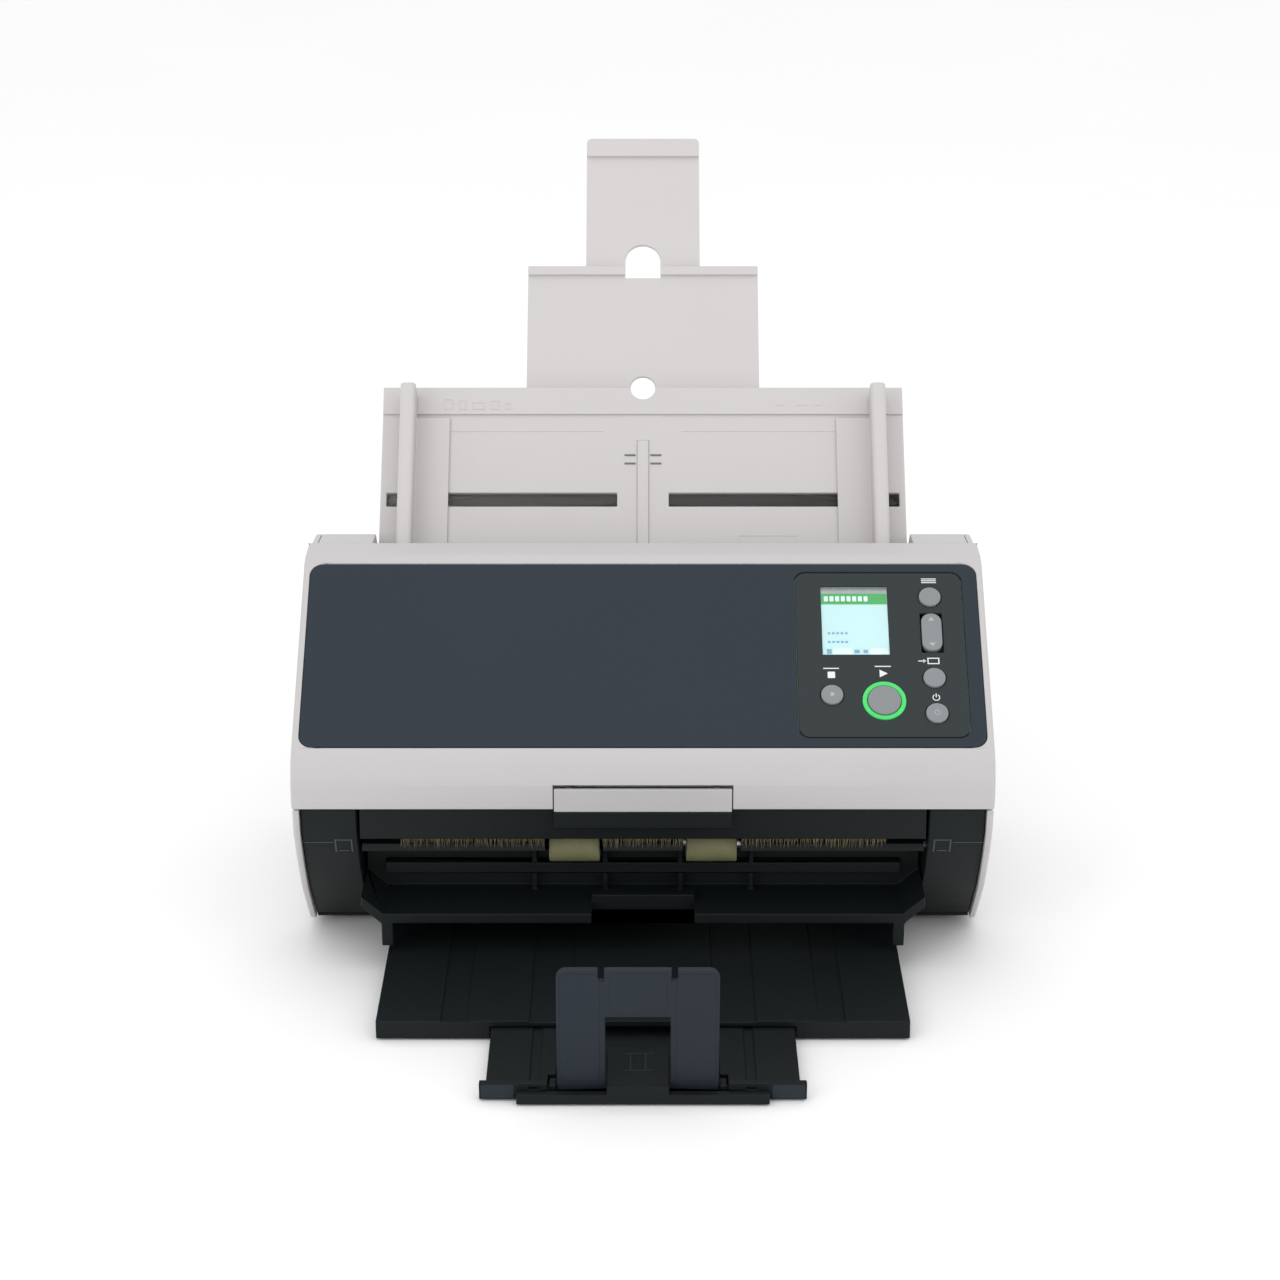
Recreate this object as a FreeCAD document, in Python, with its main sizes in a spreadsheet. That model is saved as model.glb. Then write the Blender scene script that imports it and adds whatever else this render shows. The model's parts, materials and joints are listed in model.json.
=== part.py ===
import FreeCAD, Part
import math
import os
import re
import Sketcher

# Sheet fed document scanner, with its paper chute and its output stacker drawn out.
# Millimetres, +X right as seen from the front, +Y to the back, +Z up.
# Every group is drawn in one of four frames, each turned about X only:
#   body   y is measured back from the foremost line of the casing
#   panel  y runs up the sloping front panel, z stands out of its face
#   chute  y runs up the paper chute, z stands out of its paper side
#   desk   the final frame, centred under the whole scanner

Vec = FreeCAD.Vector
doc = FreeCAD.newDocument("document_scanner")
sheet = doc.addObject("Spreadsheet::Sheet", "Dims")

CELLS = [
    ("face_y", -80.7), ("body_half", 150), ("wall_t", 2.5), ("gap_t", 0.4),
    # casing outline
    ("band_z", 77.5), ("lip_y", -0.5), ("rear_y", 174), ("floor_z", 3), ("top_z", 162.8),
    ("nose_y", 106), ("cheek_in", 122.6), ("cheek_out", 146.8),
    ("pivot_y", 98.5), ("pivot_z", 154), ("pivot_r", 2),
    # front panel
    ("panel_y", 8), ("panel_z", 102.5), ("panel_tilt", 38.2), ("panel_len", 93.6),
    ("panel_half", 147), ("panel_t", 2), ("bed_t", 2.5),
    ("desk_left", 66.6), ("desk_right", 140.4), ("desk_low", 5), ("desk_high", 88.9),
    ("screen_left", 78.1), ("screen_right", 107.4), ("screen_low", 46.6), ("screen_high", 81.4),
    ("key_x", 126), ("key_r", 4.8), ("key_up", 0.8), ("scan_x", 103.9), ("scan_y", 23.3),
    ("scan_r", 7.15), ("ring_r", 9.4), ("board_z", -10.4),
    # paper chute
    ("chute_y", 130.3), ("chute_z", 150.7), ("chute_tilt", 49.65), ("chute_half", 121.5),
    ("chute_low", -16), ("chute_top", 81), ("skin_t", 2.5), ("slot_y", 24.3), ("slot_half", 3.3),
    ("rack_z", -5.3), ("pocket_z", -6), ("chute_back", -12.5),
    ("ext_half", 54.8), ("ext_top", 147), ("ext_low", 46), ("ext_t", 4),
    ("tip_half", 27.2), ("tip_top", 217), ("tip_low", 116), ("tip_t", 2),
    ("guide_x", 105.5), ("guide_t", 7), ("guide_tall", 15), ("pinion_r", 7),
    # rollers, set in the chute frame behind the paper side
    ("pick_y", -38), ("pick_z", -10.5), ("pick_r", 12), ("brake_r", 9), ("feed_y", -60),
    ("feed_z", -7.6), ("feed_r", 8), ("idler_r", 5), ("shaft_r", 3), ("nip_t", 0.35),
    ("eject_y", 22), ("eject_z", 51.8), ("eject_r", 8), ("roller_x", 29.8), ("roller_w", 22),
    ("scan_bar_y", -78),
    # stacker
    ("tray_half", 111), ("tray_front", -62), ("tray_rear", 88), ("tray_z", 9), ("tray_t", 2.6),
    ("slide_half", 63), ("slide_front", -112.6), ("slide_z", 5.9), ("slide_t", 3.3),
    ("end_half", 50.5), ("end_front", -116.8), ("end_z", 2.3), ("desk_gap", 0.8),
    ("stop_x", -2), ("stop_half", 32.4), ("stop_in", 13), ("stop_y", -108.2), ("stop_z", 4.3),
    ("stop_t", 3.4), ("stop_tall", 52.5),
    # drive
    ("pulley_in", 129), ("pulley_out", 134), ("pulley_far", 140),
    ("motor_y", 128), ("motor_z", 48), ("motor_r", 14),
    ("plate_in", 125), ("plate_out", 126.5),
]
for row, (alias, value) in enumerate(CELLS, 1):
    sheet.set("A%d" % row, alias)
    sheet.set("B%d" % row, str(value))
    sheet.setAlias("B%d" % row, alias)
doc.recompute()

WORD = re.compile(r"[a-z]+(?:_[a-z]+)+")


def ex(text):
    """An expression in which every sheet alias is written with its sheet."""
    return WORD.sub(lambda found: "Dims." + found.group(0), str(text))


def val(alias):
    return float(sheet.get(alias))


def fresh(kind, name):
    return doc.addObject(kind, name)


def box(name, xs, ys, zs):
    """A block between two bounds on each axis, each bound a sheet expression."""
    solid = fresh("Part::Box", name)
    for prop, axis, (low, high) in zip(("Length", "Width", "Height"), "xyz", (xs, ys, zs)):
        solid.setExpression(prop, ex("(%s) - (%s)" % (high, low)))
        solid.setExpression("Placement.Base." + axis, ex(low))
    return solid


def rod(name, xs, y, z, radius):
    """A round bar along X."""
    solid = fresh("Part::Cylinder", name)
    solid.Placement = FreeCAD.Placement(Vec(0, 0, 0), FreeCAD.Rotation(Vec(0, 1, 0), 90))
    solid.setExpression("Height", ex("(%s) - (%s)" % (xs[1], xs[0])))
    solid.setExpression("Radius", ex(radius))
    for axis, text in zip("xyz", (xs[0], y, z)):
        solid.setExpression("Placement.Base." + axis, ex(text))
    return solid


def peg(name, x, y, zs, radius):
    """A round bar along Z."""
    solid = fresh("Part::Cylinder", name)
    solid.setExpression("Height", ex("(%s) - (%s)" % (zs[1], zs[0])))
    solid.setExpression("Radius", ex(radius))
    for axis, text in zip("xyz", (x, y, zs[0])):
        solid.setExpression("Placement.Base." + axis, ex(text))
    return solid


def outline(name, points, along):
    """A closed sketch whose corners are sheet expressions; along names the axis it faces."""
    turn = {"x": (Vec(1, 1, 1), 120), "y": (Vec(1, 0, 0), 90), "z": (Vec(0, 0, 1), 0)}[along]
    sketch = fresh("Sketcher::SketchObject", name)
    sketch.Placement = FreeCAD.Placement(Vec(0, 0, 0), FreeCAD.Rotation(*turn))
    count = len(points)
    for index in range(count):
        ahead = (index + 1) % count
        start = Vec(index * 7.0, index * index * 3.0, 0)
        end = Vec(ahead * 7.0, ahead * ahead * 3.0, 0)
        sketch.addGeometry(Part.LineSegment(start, end), False)
    for index in range(count):
        sketch.addConstraint(Sketcher.Constraint("Coincident", index, 2, (index + 1) % count, 1))
    for index, (across, up) in enumerate(points):
        for kind, text in (("DistanceX", across), ("DistanceY", up)):
            rule = sketch.addConstraint(Sketcher.Constraint(kind, -1, 1, index, 1, 1.0))
            sketch.setExpression("Constraints[%d]" % rule, ex(text))
    return sketch


def prism(name, points, span, along="x"):
    """An outline drawn out between two bounds on the axis it faces."""
    sketch = outline(name + "_outline", points, along)
    solid = fresh("Part::Extrusion", name)
    solid.Base = sketch
    solid.DirMode = "Custom"
    solid.Dir = {"x": Vec(1, 0, 0), "y": Vec(0, 1, 0), "z": Vec(0, 0, 1)}[along]
    solid.Solid = True
    solid.setExpression("LengthFwd", ex("(%s) - (%s)" % (span[1], span[0])))
    sketch.setExpression("Placement.Base." + along, ex(span[0]))
    return solid


def cut(name, base, *tools):
    if len(tools) > 1:
        tool = fresh("Part::Compound", name + "_tools")
        tool.Links = list(tools)
    else:
        tool = tools[0]
    result = fresh("Part::Cut", name)
    result.Base = base
    result.Tool = tool
    return result


def join(name, *parts):
    """One solid out of touching or overlapping parts."""
    result = fresh("Part::MultiFuse", name)
    result.Shapes = list(parts)
    result.Refine = True
    return result


def group(name, *parts):
    result = fresh("Part::Compound", name)
    result.Links = list(parts)
    return result


def lay(frame, part):
    """Turn a part drawn in the panel or chute frame into the body frame."""
    result = fresh("Part::Compound", part.Name + "_laid")
    result.Links = [part]
    result.Placement = FreeCAD.Placement(Vec(0, 0, 0), FreeCAD.Rotation(Vec(1, 0, 0), 30))
    result.setExpression("Placement.Base.y", ex(frame + "_y"))
    result.setExpression("Placement.Base.z", ex(frame + "_z"))
    result.setExpression("Placement.Rotation.Angle", ex(frame + "_tilt"))
    return result


def soften(name, solid, radius, along, keep):
    """Round the edges that run along one axis and pass the keep test on their middle."""
    doc.recompute()
    chosen = []
    for number, edge in enumerate(solid.Shape.Edges, 1):
        middle = edge.valueAt((edge.FirstParameter + edge.LastParameter) / 2)
        heading = edge.Vertexes[-1].Point - edge.Vertexes[0].Point
        if heading.Length < 1e-6:
            continue
        if abs(heading.normalize().dot(along)) > 0.999 and keep(middle):
            chosen.append((number, radius, radius))
    result = fresh("Part::Fillet", name)
    result.Base = solid
    result.Edges = chosen
    return result


AX, AY, AZ = Vec(1, 0, 0), Vec(0, 1, 0), Vec(0, 0, 1)
nodes = []


def node(label, part, frame="body"):
    """Close one physical piece: move it to the desk frame and name its file."""
    inner = part if frame == "body" else lay(frame, part)
    piece = fresh("Part::Compound", "node_" + label)
    piece.Links = [inner]
    piece.Label = label
    piece.setExpression("Placement.Base.y", ex("face_y"))
    nodes.append(piece)
    return piece


def both(side, low, high):
    """Bounds on X for the right side, or mirrored for the left."""
    if side == "right":
        return ("%s" % low, "%s" % high)
    return ("-(%s)" % high, "-(%s)" % low)


SIDES = ("left", "right")

# ---------------------------------------------------------------- base casing

# Side covers: flat light shells whose front edge runs back to the foot in a bow.
SIDE = [("0.8", "band_z - 1"), ("2.5", "64"), ("8.5", "51.7"), ("14.4", "41.3"), ("22", "30"),
        ("36", "14.5"), ("46", "floor_z + 1"), ("rear_y - 6", "floor_z + 1"),
        ("rear_y", "floor_z + 7"), ("rear_y", "104"), ("134", "152"), ("128", "158.5"),
        ("111", "160"), ("110", "145"), ("91", "141.5"), ("36", "band_z - 1")]
BOSSES = ("66", "150")
for side in SIDES:
    plate = prism(side + "_plate", SIDE, both(side, "cheek_out + 0.2", "body_half"))
    bosses = [box("%s_boss_%s" % (side, y), both(side, "126", "cheek_out + 1"),
                  (y + " - 5", y + " + 5"), ("floor_z + 3", "16")) for y in BOSSES]
    holes = [peg("%s_boss_hole_%s" % (side, y), both(side, "131", "131")[0], y,
                 ("floor_z", "14.5"), "1.55") for y in BOSSES]
    if side == "right":
        holes.append(box("lock_cut", both(side, "cheek_out", "body_half + 1"),
                         ("150", "157"), ("30", "33")))
    shell = join(side + "_shell", plate, *bosses)
    node(side + "_side_cover", cut(side + "_cover_cut", shell, *holes))

# Bottom cover: a hat section over the stacker's tunnel, with a rail along both its edges.
HAT = [("-cheek_out", "floor_z"), ("-115", "floor_z"), ("-115", "10.5"), ("115", "10.5"),
       ("115", "floor_z"), ("cheek_out", "floor_z"), ("cheek_out", "floor_z + 2.5"),
       ("117.5", "floor_z + 2.5"), ("117.5", "13"), ("-117.5", "13"),
       ("-117.5", "floor_z + 2.5"), ("-cheek_out", "floor_z + 2.5")]
hat = prism("hat", HAT, ("50", "171"), "y")
ribs = [box("hat_rib_" + y, ("-115", "115"), (y, y + " + 2"), ("12.8", "16"))
        for y in ("74", "100", "130")]
ribs += [box(side + "_rail", both(side, "106.5", "115.5"), ("52", "168"), ("floor_z", "4.5"))
         for side in SIDES]
holes = [peg("hat_hole_%s_%s" % (side, y), both(side, "131", "131")[0], y,
             ("floor_z - 1", "floor_z + 4"), "1.7") for side in SIDES for y in BOSSES]
node("bottom_cover", cut("hat_cut", join("hat_body", hat, *ribs), *holes))

# Case screws: pan heads under the bottom cover, shanks up into the side covers' bosses.
screws = []
for side in SIDES:
    for y in BOSSES:
        x = both(side, "131", "131")[0]
        tag = "_%s_%s" % (side, y)
        screws.append(join("case_screw" + tag,
                           peg("screw_head" + tag, x, y, ("floor_z - 1.6", "floor_z"), "3"),
                           peg("screw_shank" + tag, x, y, ("floor_z - 1", "13.5"), "1.5")))
node("case_screws", group("case_screw_set", *screws))

# Rubber feet.
node("rubber_feet", group("foot_set", *[
    peg("foot_%s_%s" % (side, y), both(side, "134", "134")[0], y, ("0", "floor_z"), "6.5")
    for side in SIDES for y in ("80", "163")]))

# Rear cover: the back wall, the shoulders beside the chute and the throat's side walls.
BACK = [("rear_y - wall_t", "floor_z + 3"), ("rear_y", "floor_z + 7"), ("rear_y", "104"),
        ("134", "152"), ("128", "158.5"), ("111", "160"), ("110", "146"), ("112.5", "146"),
        ("113", "157.3"), ("127", "156"), ("132.2", "150.2"), ("rear_y - wall_t", "103")]
CHEEK = [("110.5", "146"), ("111.5", "159.5"), ("127.8", "158"), ("133", "151.8"),
         ("150", "131"), ("140", "124"), ("118", "122"), ("107", "131")]
back = prism("back", BACK, ("-cheek_out", "cheek_out"))
throat = [prism(side + "_throat_side", CHEEK, both(side, "122.2", "123.8")) for side in SIDES]
ports = [box("port_cut_usb", ("-70", "-57"), ("165", "180"), ("22", "34")),
         box("port_cut_lan", ("-46", "-29"), ("165", "180"), ("22", "36")),
         box("port_cut_power", ("-100", "-88"), ("165", "180"), ("22", "34"))]
ports += [box("vent_%s" % x, (x, x + " + 3"), ("165", "180"), ("60", "90"))
          for x in [str(20 + 7 * n) for n in range(10)]]
gap = lay("chute", box("back_gap", ("-122.2", "122.2"), ("-60", "60"), ("chute_back - 0.5", "60")))
node("rear_cover", join("back_body", cut("back_cut", back, gap, *ports), *throat))

# Mouth cheeks: dark hollow blocks either side of the paper exit.
MOUTH = [("2.6", "band_z - 1.2"), ("4.4", "64.5"), ("10.3", "52.6"), ("16.2", "42.2"),
         ("23.8", "31.2"), ("37.8", "15.8"), ("47.6", "floor_z + 2.9"), ("60", "floor_z + 2.9"),
         ("60", "22"), ("42", "40"), ("42", "band_z - 1.2")]
HOLLOW = [("4.8", "band_z - 3.4"), ("6.6", "65.2"), ("12.4", "53.8"), ("18.2", "43.5"),
          ("25.7", "32.7"), ("39.4", "17.5"), ("48.8", "floor_z + 5.2"), ("62", "floor_z + 5.2"),
          ("62", "24"), ("44", "42"), ("44", "band_z - 3.4")]
cheeks = []
for side in SIDES:
    outer = prism(side + "_cheek_outer", MOUTH, both(side, "cheek_in", "cheek_out"))
    inner = prism(side + "_cheek_inner", HOLLOW, both(side, "cheek_in + 2", "cheek_out - 2"))
    bearing = rod(side + "_cheek_bearing", both(side, "cheek_in - 1", "cheek_in + 3"),
                  "eject_y", "eject_z", "shaft_r + 0.05")
    hook_slot = box(side + "_hook_slot", both(side, "125.4", "130.6"), ("7.2", "20"),
                    ("72", "band_z"))
    cheek = cut(side + "_cheek_cut", outer, inner, bearing, hook_slot)
    catch = rod(side + "_catch", both(side, "cheek_in + 1", "131"), "17", "70", "1.5")
    cheeks.append(join(side + "_cheek_body", cheek, catch))
node("mouth_cheeks", group("cheek_set", *cheeks))

# Chassis plates: steel sides that carry the shafts, with a pressed pivot pin each.
PLATE = [("62", "floor_z + 3"), ("168", "floor_z + 3"), ("168", "98"), ("140", "128"),
         ("104", "132"), ("101.8", "154"), ("100", "157.2"), ("97", "157.2"),
         ("95.2", "154"), ("92", "138"), ("64", "100")]
chassis = []
for side in SIDES:
    plate = prism(side + "_chassis", PLATE, both(side, "plate_in", "plate_out"))
    span = both(side, "plate_in - 1", "plate_out + 1")
    holes = [rod(side + "_pivot_hole", span, "pivot_y", "pivot_z", "pivot_r + 0.02")]
    for label in ("pick", "feed"):
        hole = rod("%s_%s_hole" % (side, label), span, label + "_y", label + "_z",
                   "shaft_r + 0.05")
        holes.append(lay("chute", hole))
    if side == "left":
        holes.append(rod("motor_plate_hole", span, "motor_y", "motor_z", "5"))
    for number, y in enumerate(BOSSES):
        holes.append(box("%s_plate_slot_%s" % (side, y), span, (y + " - 6", y + " + 6"),
                         ("floor_z", "17")))
    chassis.append(cut(side + "_chassis_cut", plate, *holes))
    chassis.append(rod(side + "_hinge_pin", both(side, "plate_in - 0.6", "142"), "pivot_y",
                       "pivot_z", "pivot_r"))
node("chassis_plates", group("chassis_set", *chassis))

# ---------------------------------------------------------------- paper path, lower side

# Lower guide: a dark moulded sheet from the chute's foot down to the exit lip.
LOWER = [("119.6", "138.1"), ("68.1", "77.5"), ("30", "61.2"), ("11", "56.5"), ("9.6", "53.5"),
         ("11.2", "52.9"), ("12.6", "54.5"), ("31", "58.8"), ("70", "75.2"), ("121.3", "136.7")]
sheet_low = prism("lower_sheet", LOWER, ("-121.6", "121.6"))
windows = [
    lay("chute", box("pick_window", ("-16", "16"), ("pick_y - 14", "pick_y + 14"), ("-6", "6"))),
    lay("chute", box("bar_window", ("-114", "114"), ("scan_bar_y - 8", "scan_bar_y + 8"),
                     ("-6", "6"))),
]
for side in SIDES:
    windows.append(lay("chute", box(side + "_feed_window", both(side, "34", "56"),
                                    ("feed_y - 7", "feed_y + 7"), ("-6", "6"))))
    windows.append(box(side + "_eject_window",
                       both(side, "roller_x - 12.5", "roller_x + 12.5"),
                       ("eject_y - 14", "eject_y + 11"), ("50", "65")))
node("lower_paper_guide", cut("lower_guide_cut", sheet_low, *windows))

# Lower contact image sensor: a housing with its glass strip level with the paper side.
node("lower_scan_unit", cut("lower_unit_cut",
     box("lower_unit", ("-113.5", "113.5"), ("scan_bar_y - 7.5", "scan_bar_y + 7.5"),
         ("-16", "-0.4")),
     box("lower_seat", ("-111.3", "111.3"), ("scan_bar_y - 5.2", "scan_bar_y + 5.2"),
         ("-1.7", "1")),
     box("lower_light", ("-109", "109"), ("scan_bar_y - 3", "scan_bar_y + 3"),
         ("-9", "1"))), "chute")
node("lower_scan_glass", box("lower_glass", ("-111", "111"), ("scan_bar_y - 5", "scan_bar_y + 5"),
                             ("-1.6", "-0.3")), "chute")

# Exit tray: the front bar with its side arms, and the back wall behind it.
BAR = [("-121.8", "36"), ("-112.5", "27.8"), ("112.5", "27.8"), ("121.8", "36"), ("121.8", "31"),
       ("113.4", "23.2"), ("-113.4", "23.2"), ("-121.8", "31")]
bar = prism("tray_bar", BAR, ("0.5", "33"), "y")
notch = box("tray_notch", ("-22.3", "22.3"), ("0", "14"), ("20", "40"))
parts = [cut("tray_bar_cut", bar, notch),
         box("tray_step", ("-22.3", "22.3"), ("14", "20"), ("24", "30.5")),
         box("tray_wall", ("-121.6", "121.6"), ("30.5", "33"), ("27", "50")),
         box("tray_rail", ("-113", "113"), ("25", "31"), ("36", "41"))]
for side in SIDES:
    parts.append(box(side + "_arm", both(side, "108.3", "113.3"), ("0.5", "8"), ("12.5", "25")))
    for number, x in enumerate(("15.5", "46.5")):
        parts.append(box("%s_tray_rib_%d" % (side, number), both(side, x, x + " + 2"),
                         ("25.5", "31"), ("27", "48")))
node("exit_tray", join("exit_tray_body", *parts))

# ---------------------------------------------------------------- shafts and rollers

def roller_set(name, places, y, z, radius, bore, frame):
    """Rubber sleeves on one shaft, as one node."""
    sleeves = []
    for number, (low, high) in enumerate(places):
        sleeve = rod("%s_sleeve_%d" % (name, number), (low, high), y, z, radius)
        hole = rod("%s_bore_%d" % (name, number), (low + " - 1", high + " + 1"), y, z, bore)
        sleeves.append(cut("%s_ring_%d" % (name, number), sleeve, hole))
    return node(name, group(name + "_set", *sleeves), frame)


# Each shaft carries its pulleys on the left end; the feed shaft has a second, smaller one.
OUTER = ("-pulley_out", "-pulley_in")
FAR = ("-pulley_far", "-pulley_out - 1.4")
SHAFTS = {
    "pick": ("chute", "-pulley_out", [(OUTER, "12")]),
    "feed": ("chute", "-pulley_far", [(OUTER, "8"), (FAR, "5")]),
    "eject": ("body", "-pulley_far", [(FAR, "5")]),
}
for label, (frame, end, pulleys) in SHAFTS.items():
    spot = (label + "_y", label + "_z")
    bar = rod(label + "_bar", (end, "128"), spot[0], spot[1], "shaft_r")
    parts = [bar]
    for number, (span, radius) in enumerate(pulleys):
        tag = "%s_pulley_%d" % (label, number)
        disc = join(tag + "_disc", rod(tag + "_rim", span, spot[0], spot[1], radius),
                    rod(tag + "_flange", (span[1], span[1] + " + 0.6"), spot[0], spot[1],
                        radius + " + 0.8"))
        bore = rod(tag + "_bore", (span[0] + " - 1", span[1] + " + 2"), spot[0], spot[1],
                   "shaft_r")
        parts.append(cut(tag, disc, bore))
    node(label + "_shaft", group(label + "_shaft_set", *parts), frame)
roller_set("pick_roller", [("-14", "14")], "pick_y", "pick_z", "pick_r", "shaft_r", "chute")
roller_set("feed_rollers", [("-54", "-36"), ("36", "54")], "feed_y", "feed_z", "feed_r",
           "shaft_r", "chute")
pair = [both(side, "roller_x - roller_w / 2", "roller_x + roller_w / 2") for side in SIDES]
roller_set("eject_rollers", pair, "eject_y", "eject_z", "eject_r", "shaft_r", "body")

# Feed motor on its bracket, inside the left shoulder.
node("feed_motor", join("motor_body",
     rod("motor_can", ("-124.4", "-108"), "motor_y", "motor_z", "motor_r"),
     rod("motor_shaft", ("-pulley_out", "-108"), "motor_y", "motor_z", "shaft_r - 1")))

def belt_loop(circles, thick):
    """A belt of even thickness stretched round circles given in order, counter-clockwise."""
    loops = []
    for extra in (0, thick):
        edges = []
        grown = [(y, z, r + extra) for y, z, r in circles]
        touches = []
        for index, (ya, za, ra) in enumerate(grown):
            yb, zb, rb = grown[(index + 1) % len(grown)]
            span = math.hypot(yb - ya, zb - za)
            lean = math.atan2(zb - za, yb - ya) - math.acos((ra - rb) / span)
            out = (math.cos(lean), math.sin(lean))
            touches.append((Vec(0, ya + ra * out[0], za + ra * out[1]),
                            Vec(0, yb + rb * out[0], zb + rb * out[1])))
        for index, (leave, arrive) in enumerate(touches):
            edges.append(Part.makeLine(leave, arrive))
            y, z, r = grown[(index + 1) % len(grown)]
            onward = touches[(index + 1) % len(touches)][0]
            begin = math.atan2(arrive.z - z, arrive.y - y)
            turn = (math.atan2(onward.z - z, onward.y - y) - begin) % (2 * math.pi)
            aim = begin + turn / 2
            middle = Vec(0, y + r * math.cos(aim), z + r * math.sin(aim))
            edges.append(Part.Arc(arrive, middle, onward).toShape())
        loops.append(Part.Face(Part.Wire(edges)))
    return loops[1].cut(loops[0])


def chute_point(y, z):
    """Where a point of the chute frame lies in the body frame."""
    tilt = math.radians(val("chute_tilt"))
    return (val("chute_y") + y * math.cos(tilt) - z * math.sin(tilt),
            val("chute_z") + y * math.sin(tilt) + z * math.cos(tilt))


node("motor_pulley", cut("motor_pulley_body",
     rod("motor_disc", ("-pulley_out", "-pulley_in"), "motor_y", "motor_z", "6"),
     rod("motor_bore", ("-pulley_out - 1", "1 - pulley_in"), "motor_y", "motor_z",
         "shaft_r - 1")))
slack = 0.35
pick_y, pick_z = chute_point(val("pick_y"), val("pick_z"))
feed_y, feed_z = chute_point(val("feed_y"), val("feed_z"))
main_run = [(feed_y, feed_z, 8 + slack), (val("motor_y"), val("motor_z"), 6 + slack),
            (pick_y, pick_z, 12 + slack)]
exit_run = [(val("eject_y"), val("eject_z"), 5 + slack), (feed_y, feed_z, 5 + slack)]
belts = []
for name, run, start in (("main_belt", main_run, -val("pulley_out") + 0.6),
                         ("exit_belt", exit_run, -val("pulley_far") + 0.6)):
    belt = fresh("Part::Feature", name)
    belt.Shape = belt_loop(run, 1.2).extrude(Vec(3.6, 0, 0))
    belt.Placement = FreeCAD.Placement(Vec(start, 0, 0), FreeCAD.Rotation())
    belts.append(belt)
node("drive_belts", group("belt_set", *belts))

# ---------------------------------------------------------------- electronics

board = box("board", ("-105", "20"), ("161.5", "163.1"), ("18", "92"))
node("main_board", group("board_set", board, *[
    box("chip_" + x, (x, x + " + " + w), ("160", "161.4"), (z, z + " + " + w))
    for x, z, w in (("-60", "50", "18"), ("-30", "55", "12"), ("-85", "60", "10"),
                    ("-8", "30", "9"))]))
usb = cut("usb_cut", box("usb_shell", ("-69.5", "-57.5"), ("163.2", "rear_y - 0.4"),
                                    ("22.5", "33.5")),
     box("usb_mouth", ("-67.9", "-59.1"), ("166", "rear_y"), ("24", "32")))
lan = cut("lan_cut", box("lan_shell", ("-45.5", "-29.5"), ("163.2", "rear_y - 0.4"),
                                    ("22.5", "35.5")),
     box("lan_mouth", ("-43.5", "-31.5"), ("166", "rear_y"), ("24.5", "33")))
node("data_ports", group("port_set", usb, lan))
power = cut("power_cut",
            box("power_shell", ("-99.5", "-88.5"), ("163.2", "rear_y - 0.4"), ("22.5", "33.5")),
            prism("power_mouth", [("-97", "25"), ("-91", "25"), ("-91", "31"), ("-97", "31")],
                  ("166", "rear_y"), "y"))
node("power_inlet", power)

# ---------------------------------------------------------------- paper chute

# Main chute: a light skin with rims, guide slots, a centre ridge and a thumb notch.
RACKS = ("slot_y - slot_half", "slot_y + slot_half")
chute_parts = [
    box("chute_skin", ("-chute_half", "chute_half"), ("chute_low", "chute_top"), ("-skin_t", "0")),
    box("chute_band", ("-chute_half", "chute_half"), ("chute_top - 14", "chute_top"),
        ("-skin_t", "0.7")),
    box("chute_crest", ("-chute_half", "chute_half"), ("chute_top - 2.2", "chute_top"),
        ("chute_back", "0")),
    box("chute_ridge", ("-2.7", "2.7"), ("-10", "54"), ("-1", "0.9")),
    peg("pinion_post", "0", "slot_y", ("rack_z - 0.3", "-1"), "2"),
]
for side in SIDES:
    chute_parts.append(box(side + "_rim", both(side, "chute_half - 2.2", "chute_half"),
                           ("chute_low", "chute_top"), ("chute_back", "0")))
chute_cuts = [
    box("crest_gate", ("-ext_half - 0.4", "ext_half + 0.4"), ("chute_top - 5", "chute_top + 1"),
        ("chute_back + 0.7", "pocket_z + 0.3")),
    box("thumb_cut", ("-5.9", "5.9"), ("chute_top - 0.1", "chute_top + 2"), ("-20", "5")),
    peg("thumb_round", "0", "chute_top - 0.1", ("-20", "5"), "5.9"),
]
for side in SIDES:
    chute_cuts.append(box(side + "_slot", both(side, "12", "118.5"), RACKS, ("-3", "1")))
node("paper_chute", cut("chute_cut", join("chute_body", *chute_parts), *chute_cuts), "chute")

back_parts = [box("back_plate", ("-118.9", "118.9"), ("-13", "chute_top - 2.6"),
                  ("chute_back", "chute_back + 1.6"))]
for side in SIDES:
    back_parts.append(box(side + "_ext_rail", both(side, "ext_half + 0.4", "ext_half + 2.4"),
                          ("-13", "chute_top - 2.6"), ("chute_back", "pocket_z + 0.2")))
back_thumb = peg("back_thumb", "0", "chute_top - 0.1", ("-20", "5"), "6.4")
node("chute_back_cover", cut("back_cover_cut", join("back_cover_body", *back_parts), back_thumb),
     "chute")


def arch(name, half, low, high, zs):
    """A slot with a round top: its straight sides start at low, its crown is at high."""
    crown = high + " - " + half
    return join(name, box(name + "_legs", ("-" + half, half), (low, crown), zs),
                peg(name + "_crown", "0", crown, zs, half))


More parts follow.
